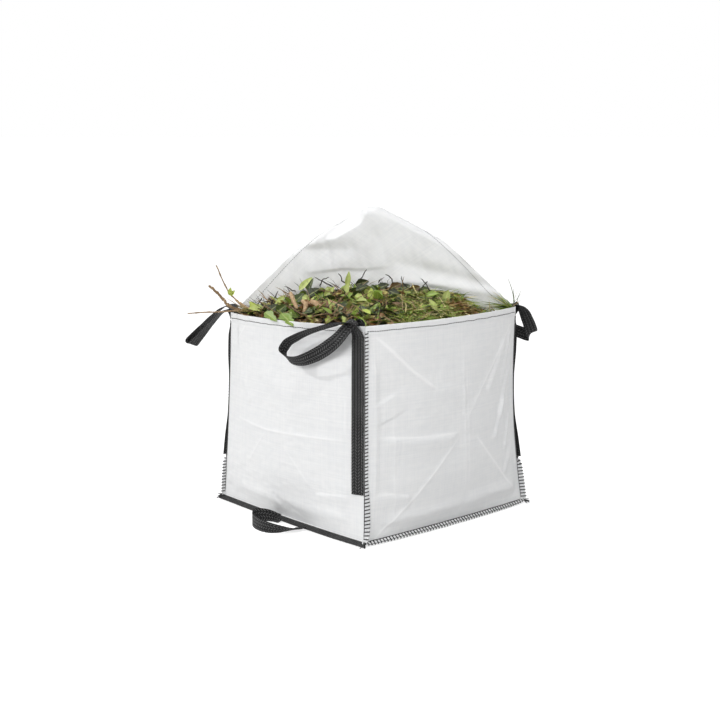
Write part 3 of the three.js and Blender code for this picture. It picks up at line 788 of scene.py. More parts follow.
def corner_seam(corner):
    """The allowance of a corner seam as a band on edge, from the base to the rim, and its stitches."""
    t = np.linspace(0.0, 0.995, CORNER_STEPS)
    root, direction = corner_fin_frames(corner, t)
    share = [0.46 + 0.49 * ease(0.3, 0.12, t), 0.95, 0.8, 0.65][corner]
    width = FIN * share * (1 + 0.08 * noise(t * 9, t * 0, 0.7, 60 + corner)) * ease(1.02, 0.965, t)
    points, faces, uv = band(root + direction * (width / 2)[:, None], direction, width, FIN_THICK)
    make_piece(f"corner_allowance_{CORNERS[corner]}", points, faces, CLOTH, "cloth", uv)
    at = np.linspace(0.012, 0.965, CORNER_WHIPS)
    root, direction = corner_fin_frames(corner, at)
    width = np.interp(at, t, width)[:, None]
    face = unit(np.cross(direction, UP))
    lean = np.broadcast_to(UP * 0.0024, root.shape)
    near = root - direction * 0.001
    threads = [whip(near, root + direction * width, face, lean)]
    for side in (-1, 1):
        threads.append(thread_line(near + face * side * ROW_LIFT, 0.0009))
    stitches = make_piece(f"corner_whip_{CORNERS[corner]}", *join(threads), THREAD, "thread")
    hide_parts(f"corner_stitching_{CORNERS[corner]}")


def base_fin_frames(panel, s):
    """Root and direction of a base seam's allowance: out and down, with waves along it."""
    root = wall(panel, s, 0) + turn(np.array([0, -0.001, 0]), panel)
    wave = np.radians(42 + 5 * noise(s * HALF + panel, 0 * s, 0.06, 70 + panel))
    flat = np.stack([0 * s, -np.cos(wave), -np.sin(wave)], axis=-1)
    return root, turn(flat, panel)


def base_seam(panel):
    """A base seam's allowance, narrower toward its ends, and its stitches where no webbing covers it."""
    s = np.linspace(-BASE_REACH[panel], BASE_REACH[panel], BASE_STEPS)
    root, direction = base_fin_frames(panel, s)
    share = 0.94 if panel == 0 else 0.74 + 0.38 * np.sqrt(np.clip(1 - s ** 2, 0, 1))
    share = share + 0.05 * noise(s * 3, 0 * s, 0.3, 80 + panel)
    width = FIN * share * (1 - 0.35 * ease(1.0, BASE_REACH[panel], np.abs(s)))
    points, faces, uv = band(root + direction * (width / 2)[:, None], direction, width, FIN_THICK)
    make_piece(f"base_allowance_{PANELS[panel]}", points, faces, CLOTH, "cloth", uv)
    if panel == 0:
        return
    at = np.linspace(-0.985, 0.985, BASE_WHIPS)
    root, direction = base_fin_frames(panel, at)
    width = np.interp(at, s, width)[:, None]
    along = unit(np.gradient(root, axis=0))
    face = unit(np.cross(direction, along))
    threads = [whip(root + direction * 0.003, root + direction * width, face, along * 0.0026)]
    for away, radius in ((0.003, 0.0014), (0.0145, 0.0008)):
        for side in (1, -1):
            threads.append(thread_line(root + direction * away + face * side * ROW_LIFT, radius))
    stitches = make_piece(f"base_whip_{PANELS[panel]}", *join(threads), THREAD, "thread")
    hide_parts(f"base_stitching_{PANELS[panel]}")


for corner in range(4):
    corner_seam(corner)
for panel in range(4):
    base_seam(panel)

# Webbing on the front base seam, folded over its allowance
BINDING_WIDTH = 0.0195
BINDING_THICK = 0.0024
BINDING_AT = 0.0128      # from the seam down to the webbing's middle
BINDING_OVER = 0.0021    # from the allowance's middle out to the webbing
s = np.linspace(-1.055, 1.045, BASE_STEPS)
root, direction = base_fin_frames(0, s)
raised = np.array([0, -DIAGONAL, DIAGONAL]) * BINDING_OVER
points, faces, uv = band(root + direction * BINDING_AT + raised, direction, BINDING_WIDTH, BINDING_THICK)
binding = make_piece("base_binding_webbing", points, faces, BINDING, "webbing", uv)
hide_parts("base_binding")


def thread_tuft(corner):
    """Thread ends at a base corner: short strands that fan out along the diagonal and droop."""
    rng = np.random.default_rng(130 + corner)
    start = wall(corner, 1, 0) + corner_out(corner) * 0.006 - UP * 0.004
    away = unit(corner_out(corner) * 1.6 + rng.normal(0, 0.5, (TUFT_STRANDS, 3)))
    k = np.linspace(0, 1, 6)[None, :, None]
    reach = rng.uniform(0.016, 0.032, (TUFT_STRANDS, 1, 1))
    paths = start + away[:, None] * k * reach - UP * 0.006 * k ** 2
    paths[..., 2] = np.maximum(paths[..., 2], 0.003)
    return tubes(paths, 0.0013)


for corner, corner_name in enumerate(CORNERS):
    make_piece(f"thread_ends_{corner_name}", *thread_tuft(corner), THREAD, "thread")

# Lift loops: offsets of the free part from the rim at the leg, in millimetres, away from the corner,
# outward and up, then the direction across the webbing in the same three.
LOOP_ROUTES = {
    "front": [
        [10, 3, 16, -0.99, 0.08, -0.12], [13, 36, -3, -0.87, 0.1, -0.48],
        [41, 56, -42, -0.78, -0.09, -0.63], [102, 64, -84, -0.55, -0.34, -0.76],
        [152, 73, -110, -0.32, -0.53, -0.79], [203, 82, -127, -0.08, -0.67, -0.74],
        [247, 88, -124, 0.03, -0.7, -0.72], [266, 90, -101, 0.12, -0.78, -0.62],
        [255, 84, -76, 0.27, -0.8, -0.53], [220, 78, -54, 0.38, -0.77, -0.5],
        [167, 70, -30, 0.4, -0.8, -0.4], [114, 60, -12, 0.3, -0.85, -0.3],
        [70, 52, 2, 0.2, -0.9, -0.3], [35, 40, 12, 0.5, -0.8, -0.2],
        [12, 27, 10, 0.95, -0.25, 0], [2, 15, -8, 1, 0, 0],
    ],
    "side": [
        [-2, 6, 5, -1, 0, 0], [-6, 30, 1, -0.98, 0.1, -0.15],
        [-7, 57, -20, -0.95, 0.28, -0.1], [-7, 77, -51, -0.91, 0.4, 0.12],
        [-8, 93, -81, -0.82, 0.45, 0.36], [-2, 107, -105, -0.62, 0.41, 0.66],
        [15, 110, -114, -0.38, 0.2, 0.9], [34, 98, -108, -0.25, 0.04, 0.97],
        [60, 88, -100, -0.2, -0.05, 0.98], [110, 80, -86, -0.2, -0.3, 0.93],
        [170, 78, -70, -0.1, -0.6, 0.8], [214, 78, -48, -0.05, -0.85, 0.5],
        [220, 76, -24, 0, -1, 0], [194, 72, -10, 0, -1, 0.05],
        [146, 66, -7, -0.1, -0.98, 0.1], [96, 58, -6, -0.25, -0.96, 0.1],
        [52, 46, -5, -0.6, -0.8, 0], [19, 30, -4, -0.95, -0.3, 0],
        [3, 17, -14, -1, 0, 0],
    ],
    "outward": [
        [0, 4, 10, 1, 0, 0], [0, 24, 19, 0.98, 0, 0.1], [0, 64, 13, 0.96, 0, 0.25],
        [0, 120, -16, 0.94, 0, 0.3], [0, 188, -63, 0.96, 0, 0.15],
        [0, 252, -111, 0.95, 0, -0.2], [0, 284, -139, 0.92, 0, -0.38],
        [0, 277, -150, 0.92, 0, -0.38], [0, 242, -127, 0.95, 0, -0.2],
        [0, 174, -75, 0.96, 0, 0.15], [0, 106, -25, 0.94, 0, 0.3],
        [0, 56, 1, 0.98, 0, 0.15], [0, 24, 4, 1, 0, 0.05], [0, 10, -8, 1, 0, 0],
    ],
}
LEG_STEPS = np.array([0, 0.02, 0.1, 0.25, 0.4, 0.55, 0.7, 0.85, 1])
LEG_ROWS = (0.0085, 0.0455)    # from the corner to the two rows of stitches on a leg
LEG_STITCHES = 56
LEG_STITCH = 0.0068
LEG_STITCHED = (0.045, LEG_LENGTH - 0.006)    # depths of the first and the last stitch


def leg_stand(panel, below):
    """How far a leg's seam edge stands out over the allowance under it, more toward both its ends."""
    if panel == 0:
        return 0 * below
    top = 0.009 * ease(0.03, 0.08, below) * ease(0.26, 0.14, below)
    return top + 0.004 * ease(0.03, 0.10, below) + 0.019 * ease(LEG_LENGTH - 0.20, LEG_LENGTH, below)


def leg_frames(panel, end, below, outward, facing):
    """Centres and cross directions of a sewn leg at depths below the rim."""
    t = 1 - below / WALL
    s = end * (1 - LEG_AT / half_at(t))
    stand = leg_stand(panel, below) if outward > 0 else 0 * below
    out = turn(np.array([0, -1.0, 0]), panel)
    across = unit(wall(panel, s - end * 0.01, t) - wall(panel, s + end * 0.01, t))
    across = unit(across * WEBBING_WIDTH - out * stand[:, None]) * facing
    return wall(panel, s, t, outward + stand / 2 + relief(panel, s, np.minimum(t, 1))), across


def loop_frames(panel, end, route, inner_facing, outer_facing):
    """All frames of a loop: the inner leg upward, the free part, then the outer leg downward."""
    inner_depths = (-LEG_CLEARS_RIM + (INNER_LEG + LEG_CLEARS_RIM) * LEG_STEPS)[::-1]
    outer_depths = LEG_SETTLES + (LEG_LENGTH - LEG_SETTLES) * LEG_STEPS
    inner = leg_frames(panel, end, inner_depths, -LEG_OFFSET, inner_facing)
    outer = leg_frames(panel, end, outer_depths, LEG_OFFSET, outer_facing)
    rim = wall(panel, end * (1 - LEG_AT / half_at(1)), 1)
    axes = np.array([turn(np.array([-end, 0, 0]), panel), turn(np.array([0, -1, 0]), panel), UP])
    rows = np.array(LOOP_ROUTES[route], dtype=float)
    free = rim + rows[:, :3] / 1000 @ axes
    return (np.concatenate([inner[0], free, outer[0]]),
            np.concatenate([inner[1], unit(rows[:, 3:] @ axes), outer[1]]))


def along_frames(centres, across, each=8):
    """Frames made dense: a smooth path of centres, and the cross directions blended between frames."""
    path, spans = smooth_path(centres, each)
    low = np.minimum(spans.astype(int), len(centres) - 2)
    share = (spans - low)[:, None]
    return path, across[low] * (1 - share) + across[low + 1] * share


def lift_loop(name, panel, end, route, inner_facing, outer_facing):
    """A lift loop of webbing, and two rows of stitches down its outer leg."""
    path, across = along_frames(*loop_frames(panel, end, route, inner_facing, outer_facing))
    points, faces, uv = band(path, across, WEBBING_WIDTH, WEBBING_THICK)
    loop = make_piece(f"lift_loop_webbing_{name}", points, faces, WEBBING, "webbing", uv)
    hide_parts(f"lift_loop_{name}")
    depth = np.linspace(*LEG_STITCHED, LEG_STITCHES)[:, None]
    t = 1 - depth / WALL - np.array([0, 0.25, 0.75, 1]) * LEG_STITCH / WALL
    lift = np.array([0.1, 0.7, 0.7, 0.1]) * 0.0007
    middle = end * (1 - LEG_AT / half_at(t))
    rows = []
    for aside in LEG_ROWS:
        s = end * (1 - aside / half_at(t))
        stand = leg_stand(panel, (1 - t) * WALL) * (0.5 + (LEG_AT - aside) / WEBBING_WIDTH)
        over = relief(panel, middle, t) + stand + LEG_OFFSET + WEBBING_THICK / 2
        rows.append(tubes(wall(panel, s, t, over + lift), 0.0006, 5))
    make_piece(f"lift_loop_stitches_{name}", *join(rows), LEG_THREAD, "thread")


lift_loop("front_right", 0, 1, "front", -1, 1)
lift_loop("back_right", 2, -1, "side", -1, -1)
lift_loop("back_left", 2, 1, "side", -1, -1)
lift_loop("front_left", 3, 1, "outward", 1, 1)

# Tipping handle: a loop of webbing on edge before the front base seam, as x and the distance outward
# in millimetres, and how far it leans over in degrees.
HANDLE_ROUTE = np.array([
    [-12, 15, 76], [-38, 22, 64], [-61, 44, 38], [-72, 80, 10], [-46, 116, 0], [0, 135, 0],
    [45, 138, 10], [80, 122, 32], [99, 88, 58], [98, 48, 78], [90, 17, 80],
])
HANDLE_FROM_GROUND = 0.002


def tipping_handle():
    """The handle as a band whose width stands up, and leans away from the loop's middle at its ends."""
    x, outward, lean = HANDLE_ROUTE.T
    lean = np.radians(lean)
    centres = wall(0, x / 1000 / HALF, 0, outward / 1000)
    centres[:, 2] = HANDLE_FROM_GROUND + WEBBING_WIDTH / 2 * np.cos(lean)
    aside = unit(centres - wall(0, 0.055, 0, 0.080))
    across = unit(aside * [1, 1, 0]) * np.sin(lean)[:, None] + UP * np.cos(lean)[:, None]
    path, across = along_frames(centres, across, 14)
    points, faces, uv = band(path, across, WEBBING_WIDTH, WEBBING_THICK)
    handle = make_piece("tipping_handle_webbing", points, faces, WEBBING, "webbing", uv)
    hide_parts("tipping_handle")


tipping_handle()

# Running stitch of the rim's hem
RIM_STITCHES = 83
RIM_STITCH = 0.0202      # length of a stitch, as a share of half a side


def running_stitch(place, starts, length, radius):
    """Stitches along a row: place(position, lift) gives points, each stitch dips in at both ends."""
    at = starts[:, None] + np.array([0, 0.2, 0.5, 0.8, 1]) * length
    lift = np.broadcast_to(np.array([-0.4, 0.5, 0.8, 0.5, -0.4]) * radius, at.shape)
    return tubes(place(at, lift), radius, 5)


def rim_stitches(panel):
    """The hem's stitches, with a slight wander up and down."""
    def place(at, lift):
        below = HEM_STITCH + 0.0012 * noise(at * 4 + 2, at * 0, 0.3, 90 + panel)
        return cloth_at(panel, at, 1 - below / WALL, CLOTH_OVER + HEM_THICK + lift)

    reach = 1 - 0.006 / HALF
    starts = np.linspace(-reach, reach, RIM_STITCHES + 1)[:-1]
    points, faces = running_stitch(place, starts, RIM_STITCH, 0.0012)
    stitches = make_piece(f"rim_stitches_{PANELS[panel]}", points, faces, THREAD, "thread")
    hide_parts(f"rim_stitching_{PANELS[panel]}")


for panel in range(4):
    rim_stitches(panel)

# Lid
LID_FACET_TILT = np.radians(58)
LID_FACET_DROP = 0.044
LID_CELLS = 191
LID_THICK = 0.0008
LID_OVER = 0.0006       # from the lid's middle to the threads on its faces
LID_STITCHES = 79
LID_STITCH = 0.0098     # length of a stitch, as a share of a side


def lid_crown(m):
    """Height of the lid's crease over the rim: an arch that sinks near both ends."""
    slump = 0.046 * np.exp(-((np.abs(m) - 0.78) / 0.17) ** 2) * ease(0, 0.12, 1 - np.abs(m))
    return LID_CROWN * (1 - m * m) - slump


def lid_surface(p, q, over=0.0):
    """The lid: a bowed square sewn to the left and back rims, creased on its diagonal.

    m runs along the crease and n across it. Behind the crease it lies over the heap. Before it, it
    stands up with a slight lean, tilts back in a lens-shaped facet left of the middle, rolls over
    its fold and hangs down behind. Folds push the standing half toward the front right corner.
    """
    m = q - p
    n = p + q - 1
    reach = np.maximum(1 - np.abs(m), 1e-6)
    share = np.minimum(np.abs(n) / reach, 1)
    crown = lid_crown(m)
    half = half_at(1) - LID_INSET
    low_x, low_y = plan_at(2 * q - 1, 1 - 2 * p, half, RIM_BOW)
    low_z = rim_at(low_x, low_y) + crown * (1 - share ** 2)
    high_x, high_y = plan_at(m, m, half, RIM_BOW * (1 - share))
    rim = rim_at(high_x, high_y)
    height = crown * (1 - share) + n * LID_RISE
    lens = np.clip((m + 0.43) / 0.2, 0, 1) * np.clip((-0.03 - m) / 0.07, 0, 1)
    lens = lens * lens * (3 - 2 * lens)
    drop = LID_FACET_DROP * lens
    radius = LID_FOLD_RADIUS * (1 - 0.45 * lens)
    fold = LID_FOLD - LID_FOLD_SLOPE * np.maximum(0, np.abs(m) - LID_FOLD_FLAT)
    tilt = LID_FACET_TILT * lens
    top = fold + LID_FOLD_RADIUS
    ridge = top - drop - radius * (1 - np.sin(tilt))
    facet = drop / np.cos(tilt)
    below = np.minimum(height, ridge)
    on_facet = np.clip(height - ridge, 0, facet)
    turned = np.clip(tilt + (height - ridge - facet) / radius, tilt, np.pi)
    tail = np.maximum(0, height - ridge - facet - (np.pi - tilt) * radius)
    back = LID_LEAN * (below + tail) + on_facet * np.sin(tilt) + radius * (np.cos(tilt) - np.cos(turned))
    high_z = rim + below + on_facet * np.cos(tilt) + radius * (np.sin(turned) - np.sin(tilt)) - tail
    push = lid_folds(m, np.maximum(n, 0), height, ridge) * ease(0.0, 0.05, n) + over
    high_x = high_x + (push - back) * DIAGONAL
    high_y = high_y - (push - back) * DIAGONAL
    standing = n > 0
    sag = 0.004 * noise(low_x, low_y, 0.07, 31) * ease(0, 0.2, 1 - share) + over
    x = np.where(standing, high_x, low_x)
    y = np.where(standing, high_y, low_y)
    z = np.where(standing, high_z, low_z + np.where(standing, 0, np.minimum(sag, over + 0.004)))
    return np.stack([x, y, z], axis=-1)


def lid_folds(m, n, height, ridge):
    """Folds of the standing half: a belly over an undercut, a valley under the ridge, and wrinkles."""
    undercut = 0.125 + 0.035 * (m + 0.4) + 0.006 * noise(m + 5, 0 * m, 0.13, 25)
    valley = 0.205 - 0.03 * (m + 0.4)
    left = ease(-1.0, -0.45, m) * ease(0.16, -0.1, m)
    over = height - undercut
    belly = ease(-0.007, 0.007, over) * ease(valley + 0.01, undercut + 0.02, height)
    overhang = ease(valley, np.maximum(ridge, valley + 0.03), height) * ease(ridge + 0.10, ridge, height)
    push = left * (0.0055 * belly * ease(-0.52, -0.25, m) + 0.009 * overhang)
    slanted = m + 0.35 * height
    coarse = noise(slanted + 4, height * 0.6 + 3, 0.075, 21)
    strands = coarse + 0.45 * noise(slanted + 4, height * 0.5 + 3, 0.034, 22)
    strands = strands * ease(0.08, 0.14, height) * ease(0.30, 0.22, height)
    push = push + 0.0060 * strands * (0.35 + 0.65 * left)
    push = push + 0.006 * noise(m + 2, height + 2, 0.11, 23)
    push = push + 0.0025 * noise(m * 0.4 + 2, height + 2, 0.045, 24)
    right = ease(0.0, 0.3, m)
    push = push + 0.006 * right * np.exp(-((height - 0.10 + 0.06 * m) / 0.018) ** 2)
    push = push - 0.006 * right * np.exp(-((height - 0.17 + 0.12 * m) / 0.022) ** 2)
    return push * ease(0.0, 0.10, 1 - np.abs(m)) * ease(0.0, 0.04, 1 - np.abs(m) - n + 0.02)


def lid_stitches(side):
    """The running stitch inside a free edge, on both faces of the lid."""
    starts = np.linspace(0.02, 0.98, LID_STITCHES + 1)[:-1]
    rows = []
    for face in (-1, 1):
        def place(at, lift, face=face):
            edge = np.full(at.shape, 1 - LID_HEM / (2 * HALF))
            p, q = (edge, at) if side == "left" else (at, edge)
            return lid_surface(p, q, face * (LID_OVER + lift))

        rows.append(running_stitch(place, starts, LID_STITCH, 0.0007))
    stitches = make_piece(f"lid_stitches_{side}", *join(rows), THREAD, "thread")
    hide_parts(f"lid_stitching_{side}")


share_of_side = np.concatenate([[0.0], np.linspace(0, 1, LID_CELLS)])
p, q = np.meshgrid(share_of_side, share_of_side, indexing="ij")
points = lid_surface(p, q)
points[0, :, 2] -= LID_SEAM
points[1:, 0, 2] -= LID_SEAM
uv = np.stack([p, q], axis=-1) * 2 * HALF
lid_cloth = make_piece("lid_cloth", points, grid_faces(LID_CELLS + 1, LID_CELLS + 1), CLOTH, "cloth", uv)
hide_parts("lid")
solid = lid_cloth.modifiers.new("cloth", "SOLIDIFY")
solid.thickness = LID_THICK
solid.offset = 0
for side in ("left", "right"):
    lid_stitches(side)

# Filling
MOUND_CELLS = 97
MOUND_LEVELS = 17


def heap_top(u, v):
    """Height of the heap: the rim less a drop, with a crown in the middle and a tilt."""
    x, y = plan_at(u, v, half_at(1) - HEAP_CLEAR, RIM_BOW)
    crown = HEAP_RISE * (1 - u * u) * (1 - v * v)
    tilt = HEAP_TILT * (u + v) / 2 * np.maximum(np.abs(u), np.abs(v))
    return rim_at(x, y) - HEAP_DROP + crown - tilt


def heap_point(u, v, share):
    """A point of the heap: u and v across it, and a share of its height."""
    edge = np.maximum(np.abs(u), np.abs(v))
    rise = BASE_MIDDLE + (SEAM_LIFT - BASE_MIDDLE) * ease(1 - EDGE_BAND / HALF, 1, edge)
    low = rise + HEAP_FROM_BASE + HEAP_CLEAR * ease(0.8, 1, edge)
    z = low + (heap_top(u, v) - low) * share
    x, y = plan_at(u, v, half_at(1) - HEAP_CLEAR, RIM_BOW)
    t = np.clip((z - SEAM_Z) / (rim_at(x, y) - SEAM_Z), 0, 1)
    x, y = plan_at(u, v, half_at(t) - HEAP_CLEAR, bow_at(t))
    return drawn_in(np.stack([x, y, z], axis=-1), t)


def heap_bumps(u, v):
    """Lumps of the open part of the heap, and a swell that fills the gap under the lid's crease."""
    open_part = ease(-0.05, 0.12, u - v)
    inside = ease(1.0, 0.9, np.maximum(np.abs(u), np.abs(v)))
    lumps = 0.010 * noise(u + 3, v + 3, 0.19, 51) + 0.005 * noise(u + 3, v + 3, 0.07, 52)
    fuller = 0.016 * ease(0.45, 0.85, np.maximum(np.abs(u), np.abs(v)))
    along = (u + v) / 2
    x, y = plan_at(along, along, half_at(1) - HEAP_CLEAR, RIM_BOW)
    gap = rim_at(x, y) + lid_crown(along) - heap_top(along, along)
    swell = np.maximum(gap - 0.016, 0) * np.exp(-((u - v - 0.04) / 0.16) ** 2) * ease(-0.15, 0.2, along)
    return ((lumps - 0.002 + fuller) * open_part + swell) * inside - 0.005 * (1 - open_part)


def mound():
    """The heap as one closed shell: a top, four sides and an underside, each a grid of u, v or share."""
    line = np.linspace(-1, 1, MOUND_CELLS)
    level = np.linspace(0, 1, MOUND_LEVELS)
    u, v = np.meshgrid(line, line)
    top = heap_point(u, v, 1.0)
    top[..., 2] += heap_bumps(u, v)
    cells = grid_faces(MOUND_CELLS, MOUND_CELLS)
    shapes = [(top, cells), (heap_point(u, v, 0.0), cells[:, ::-1])]
    along, up = np.meshgrid(line, level)
    one = np.ones_like(along)
    for a, b in ((along, -one), (one, along), (-along, one), (-one, -along)):
        side = heap_point(a, b, up)
        side[-1, :, 2] += heap_bumps(a, b)[-1]
        shapes.append((side, grid_faces(MOUND_LEVELS, MOUND_CELLS)))
    return join(shapes)


points, faces = mound()
heap = make_piece("waste_heap", points, faces, MOUND, "waste")
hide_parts("garden_waste")

# Tints of the plants
PALE = colour(186, 200, 112)
FRESH = colour(134, 162, 58)
LOBED = colour(120, 148, 54)
DEEP = colour(56, 76, 24)
SHADE = colour(30, 42, 15)
BROWN = colour(128, 92, 58)
RUST = colour(160, 114, 74)
UMBER = colour(94, 66, 42)
STRAW = colour(224, 208, 152)
GRASS = colour(142, 162, 66)
DULL = colour(166, 154, 86)
MOSS = colour(146, 108, 58)
BUD = colour(176, 192, 84)

# Plants strewn over the heap
TRIES = 40    # random places tried for each plant
PLANT_FROM_WALL = 0.006
PLANT_OVER_RIM = 0.003
PLANT_FROM_LID = 0.010
LEAF_ROWS = 9
LEAF_COLUMNS = 5
LEAF_POINTS = LEAF_ROWS * LEAF_COLUMNS
BLADE_ROWS = 6
BLADE_POINTS = BLADE_ROWS * 2


def open_spots(count, seed, lean, near=None):
    """Random places on the open triangle of the heap, more of them to one side: lean -1 left, 1 right.

    Near gives the middle (u, v) of a patch and its spread.
    """
    rng = np.random.default_rng(seed)
    u, v = rng.uniform(-0.96, 0.96, (2, TRIES * count))
    if near is not None:
        patch = rng.normal(0, near[2], (2, TRIES * count)) + np.array(near[:2])[:, None]
        u, v = np.clip(patch, -0.95, 0.95)
    wanted = rng.uniform(0, 1, TRIES * count) < np.clip(0.5 + lean * (u + v) * 1.4, 0.03, 1)
    keep = np.flatnonzero((u - v > 0.03) & wanted)[:count]
    u, v = u[keep], v[keep]
    spots = heap_point(u, v, 1.0)
    spots[:, 2] += heap_bumps(u, v)
    return spots, rng


def keep_inside(points):
    """Plants pressed flat where they would reach through a panel or the standing lid."""
    x, y, z = points[..., 0], points[..., 1], points[..., 2]
    rim = rim_at(x, y)
    half = half_at(1)
    wall_y = -(half + RIM_BOW * (1 - np.clip(x / half, -1, 1) ** 2)) + PLANT_FROM_WALL
    wall_x = half + RIM_BOW * (1 - np.clip(y / half, -1, 1) ** 2) - PLANT_FROM_WALL
    low = z < rim + PLANT_OVER_RIM
    y = np.where(low, np.maximum(y, wall_y), y)
    x = np.where(low, np.minimum(x, wall_x), x)
    behind = np.maximum(PLANT_FROM_LID - (x - y) * DIAGONAL, 0)
    return np.stack([x + behind * DIAGONAL, y - behind * DIAGONAL, z], axis=-1)


def directions(rng, count, low, high):
    """Random directions: any bearing, and a climb between low and high degrees."""
    bearing = rng.uniform(0, 2 * np.pi, count)
    climb = np.radians(rng.uniform(low, high, count))
    level = np.cos(climb)
    return np.stack([np.cos(bearing) * level, np.sin(bearing) * level, np.sin(climb)], axis=-1)


def rolled(along, facing, roll):
    """Across a leaf that faces a given way, then rolled about its length."""
    side = unit(np.cross(along, facing))
    return side * np.cos(roll)[:, None] + np.cross(side, along) * np.sin(roll)[:, None]


def per_plant(values):
    """One value or vector of each plant, to go with the rows and columns of its points."""
    return values[:, None, None]


def leaves(roots, along, side, length, breadth, curl, lobes):
    """Leaves: a pointed oval folded at its midrib and curled along it, on 5 by 9 points each.

    Half the breadth goes with a sine of the length, fuller toward the stalk, and lobes notch it.
    """
    v = np.linspace(0, 1, LEAF_ROWS)[None, :, None]
    u = np.linspace(-1, 1, LEAF_COLUMNS)[None, None, :]
    outline = np.sin(np.pi * v ** 0.75) ** 0.85 * (1 + per_plant(lobes) * np.cos(v * 5 * np.pi))
    face = np.cross(side, along)
    x = u * outline * per_plant(breadth) / 2
    y = v * per_plant(length)
    lift = np.abs(x) * 0.45 - per_plant(curl) * per_plant(length) * v ** 2
    points = (per_plant(roots) + per_plant(along) * y[..., None]
              + per_plant(side) * x[..., None] + per_plant(face) * lift[..., None])
    uv = np.stack([u + 0 * x, v + 0 * x], axis=-1)
    return points, repeat_faces(grid_faces(LEAF_ROWS, LEAF_COLUMNS), LEAF_POINTS, len(roots)), uv


def blades(roots, along, length, breadth, droop, twist, bend):
    """Grass blades and straw: a narrow strip that tapers, droops and bends aside, on 2 by 6 points each."""
    v = np.linspace(0, 1, BLADE_ROWS)[None, :, None]
    u = np.array([-1.0, 1.0])[None, None, :]
    level = unit(np.cross(along, UP + 1e-4))
    side = unit(level + UP * twist[:, None])
    x = u * (1 - v ** 3) * per_plant(breadth) / 2
    y = v * per_plant(length) + 0 * x
    fall = per_plant(droop) * per_plant(length) * v ** 2 + 0 * x
    aside = per_plant(bend) * per_plant(length) * v ** 2 + 0 * x
    points = per_plant(roots) + per_plant(along) * y[..., None] + per_plant(side) * x[..., None]
    points = points - UP * fall[..., None] + per_plant(level) * aside[..., None]
    uv = np.stack([u + 0 * x, v + 0 * x], axis=-1)
    return points, repeat_faces(grid_faces(BLADE_ROWS, 2), BLADE_POINTS, len(roots)), uv


def spread_tint(rng, palette, weights, count, each):
    """A tint for each plant, picked from a palette and varied, repeated over its points."""
    picked = rng.choice(len(palette), count, p=np.array(weights) / np.sum(weights))
    tint = np.array(palette)[picked] * rng.uniform(0.75, 1.25, (count, 1))
    return np.repeat(np.clip(tint, 0, 1), each, axis=0)


def scatter_leaves(name, count, seed, lean, size, palette, weights, climb, lift, lobed=0.0):
    """Leaves strewn over the open heap."""
    spots, rng = open_spots(count, seed, lean)
    count = len(spots)
    along = directions(rng, count, *climb)
    length = rng.uniform(*size, count)
    roll = rng.uniform(-0.9, 0.9, count)
    spots = spots + UP * rng.uniform(*lift, (count, 1)) - along * length[:, None] * 0.4
    lobes = np.where(rng.uniform(0, 1, count) < lobed, 0.28, 0.0)
    curl = rng.uniform(-0.1, 0.3, count)
    breadth = length * rng.uniform(0.42, 0.62, count)
    side = rolled(along, UP + 1e-4, roll)
    points, faces, uv = leaves(spots, along, side, length, breadth, curl, lobes)
    tint = spread_tint(rng, palette, weights, count, LEAF_POINTS)
    make_piece(name, keep_inside(points), faces, LEAF, "waste", uv, tint)


def scatter_blades(name, count, seed, lean, size, breadth, palette, weights, climb, lift=0.016, near=None):
    """Blades strewn over the open heap. Those that climb bend over toward their tips."""
    spots, rng = open_spots(count, seed, lean, near)
    count = len(spots)
    along = directions(rng, count, *climb)
    length = rng.uniform(*size, count)
    spots = spots + UP * rng.uniform(0.0, lift, (count, 1)) - along * length[:, None] * 0.3
    droop = rng.uniform(0.3, 1.1, count) * np.abs(along[:, 2]) + 0.05
    wide = rng.uniform(*breadth, count)
    bend = rng.uniform(-0.4, 0.4, count)
    twist = rng.uniform(-1, 1, count)
    points, faces, uv = blades(spots, along, length, wide, droop, twist, bend)
    tint = spread_tint(rng, palette, weights, count, BLADE_POINTS)
    make_piece(name, keep_inside(points), faces, BLADE, "waste", uv, tint)


scatter_leaves("dead_leaves", 420, 101, -0.6, (0.025, 0.055), [BROWN, RUST, SHADE, DULL], [4, 3, 3, 2],
               (-20, 30), (0.0, 0.020))
scatter_leaves("dark_leaves", 240, 102, -0.6, (0.035, 0.06), [DEEP, SHADE, FRESH], [4, 3, 2],
               (-15, 50), (0.0, 0.024), 0.2)
scatter_leaves("pale_leaves", 105, 103, -0.7, (0.034, 0.058), [PALE, FRESH, BUD], [6, 4, 2],
               (-5, 65), (0.006, 0.034), 0.15)
scatter_leaves("small_leaves", 190, 104, 0.4, (0.016, 0.03), [FRESH, DEEP, DULL], [4, 3, 2],
               (-10, 50), (0.0, 0.02))
scatter_blades("grass_clippings", 3800, 105, 1.0, (0.045, 0.13), (0.002, 0.0046),
               [GRASS, FRESH, DULL, STRAW, DEEP], [5, 4, 3, 2, 4], (-8, 62))
scatter_blades("straw", 420, 106, 0.5, (0.07, 0.16), (0.0016, 0.003), [STRAW, DULL], [4, 2], (-6, 26))
scatter_blades("moss_shreds", 1200, 107, 0.4, (0.015, 0.04), (0.002, 0.004), [MOSS, BROWN, DULL], [4, 3, 2],
               (-20, 40))
scatter_blades("moss_patch", 800, 108, 0.0, (0.015, 0.045), (0.002, 0.005), [MOSS, BROWN, DULL], [5, 4, 1],
               (-10, 60), 0.026, (0.80, 0.42, 0.075))
scatter_blades("long_grass", 150, 121, 0.9, (0.08, 0.17), (0.0028, 0.0046), [STRAW, GRASS, FRESH, DULL],
               [4, 3, 3, 2], (25, 70), 0.026)

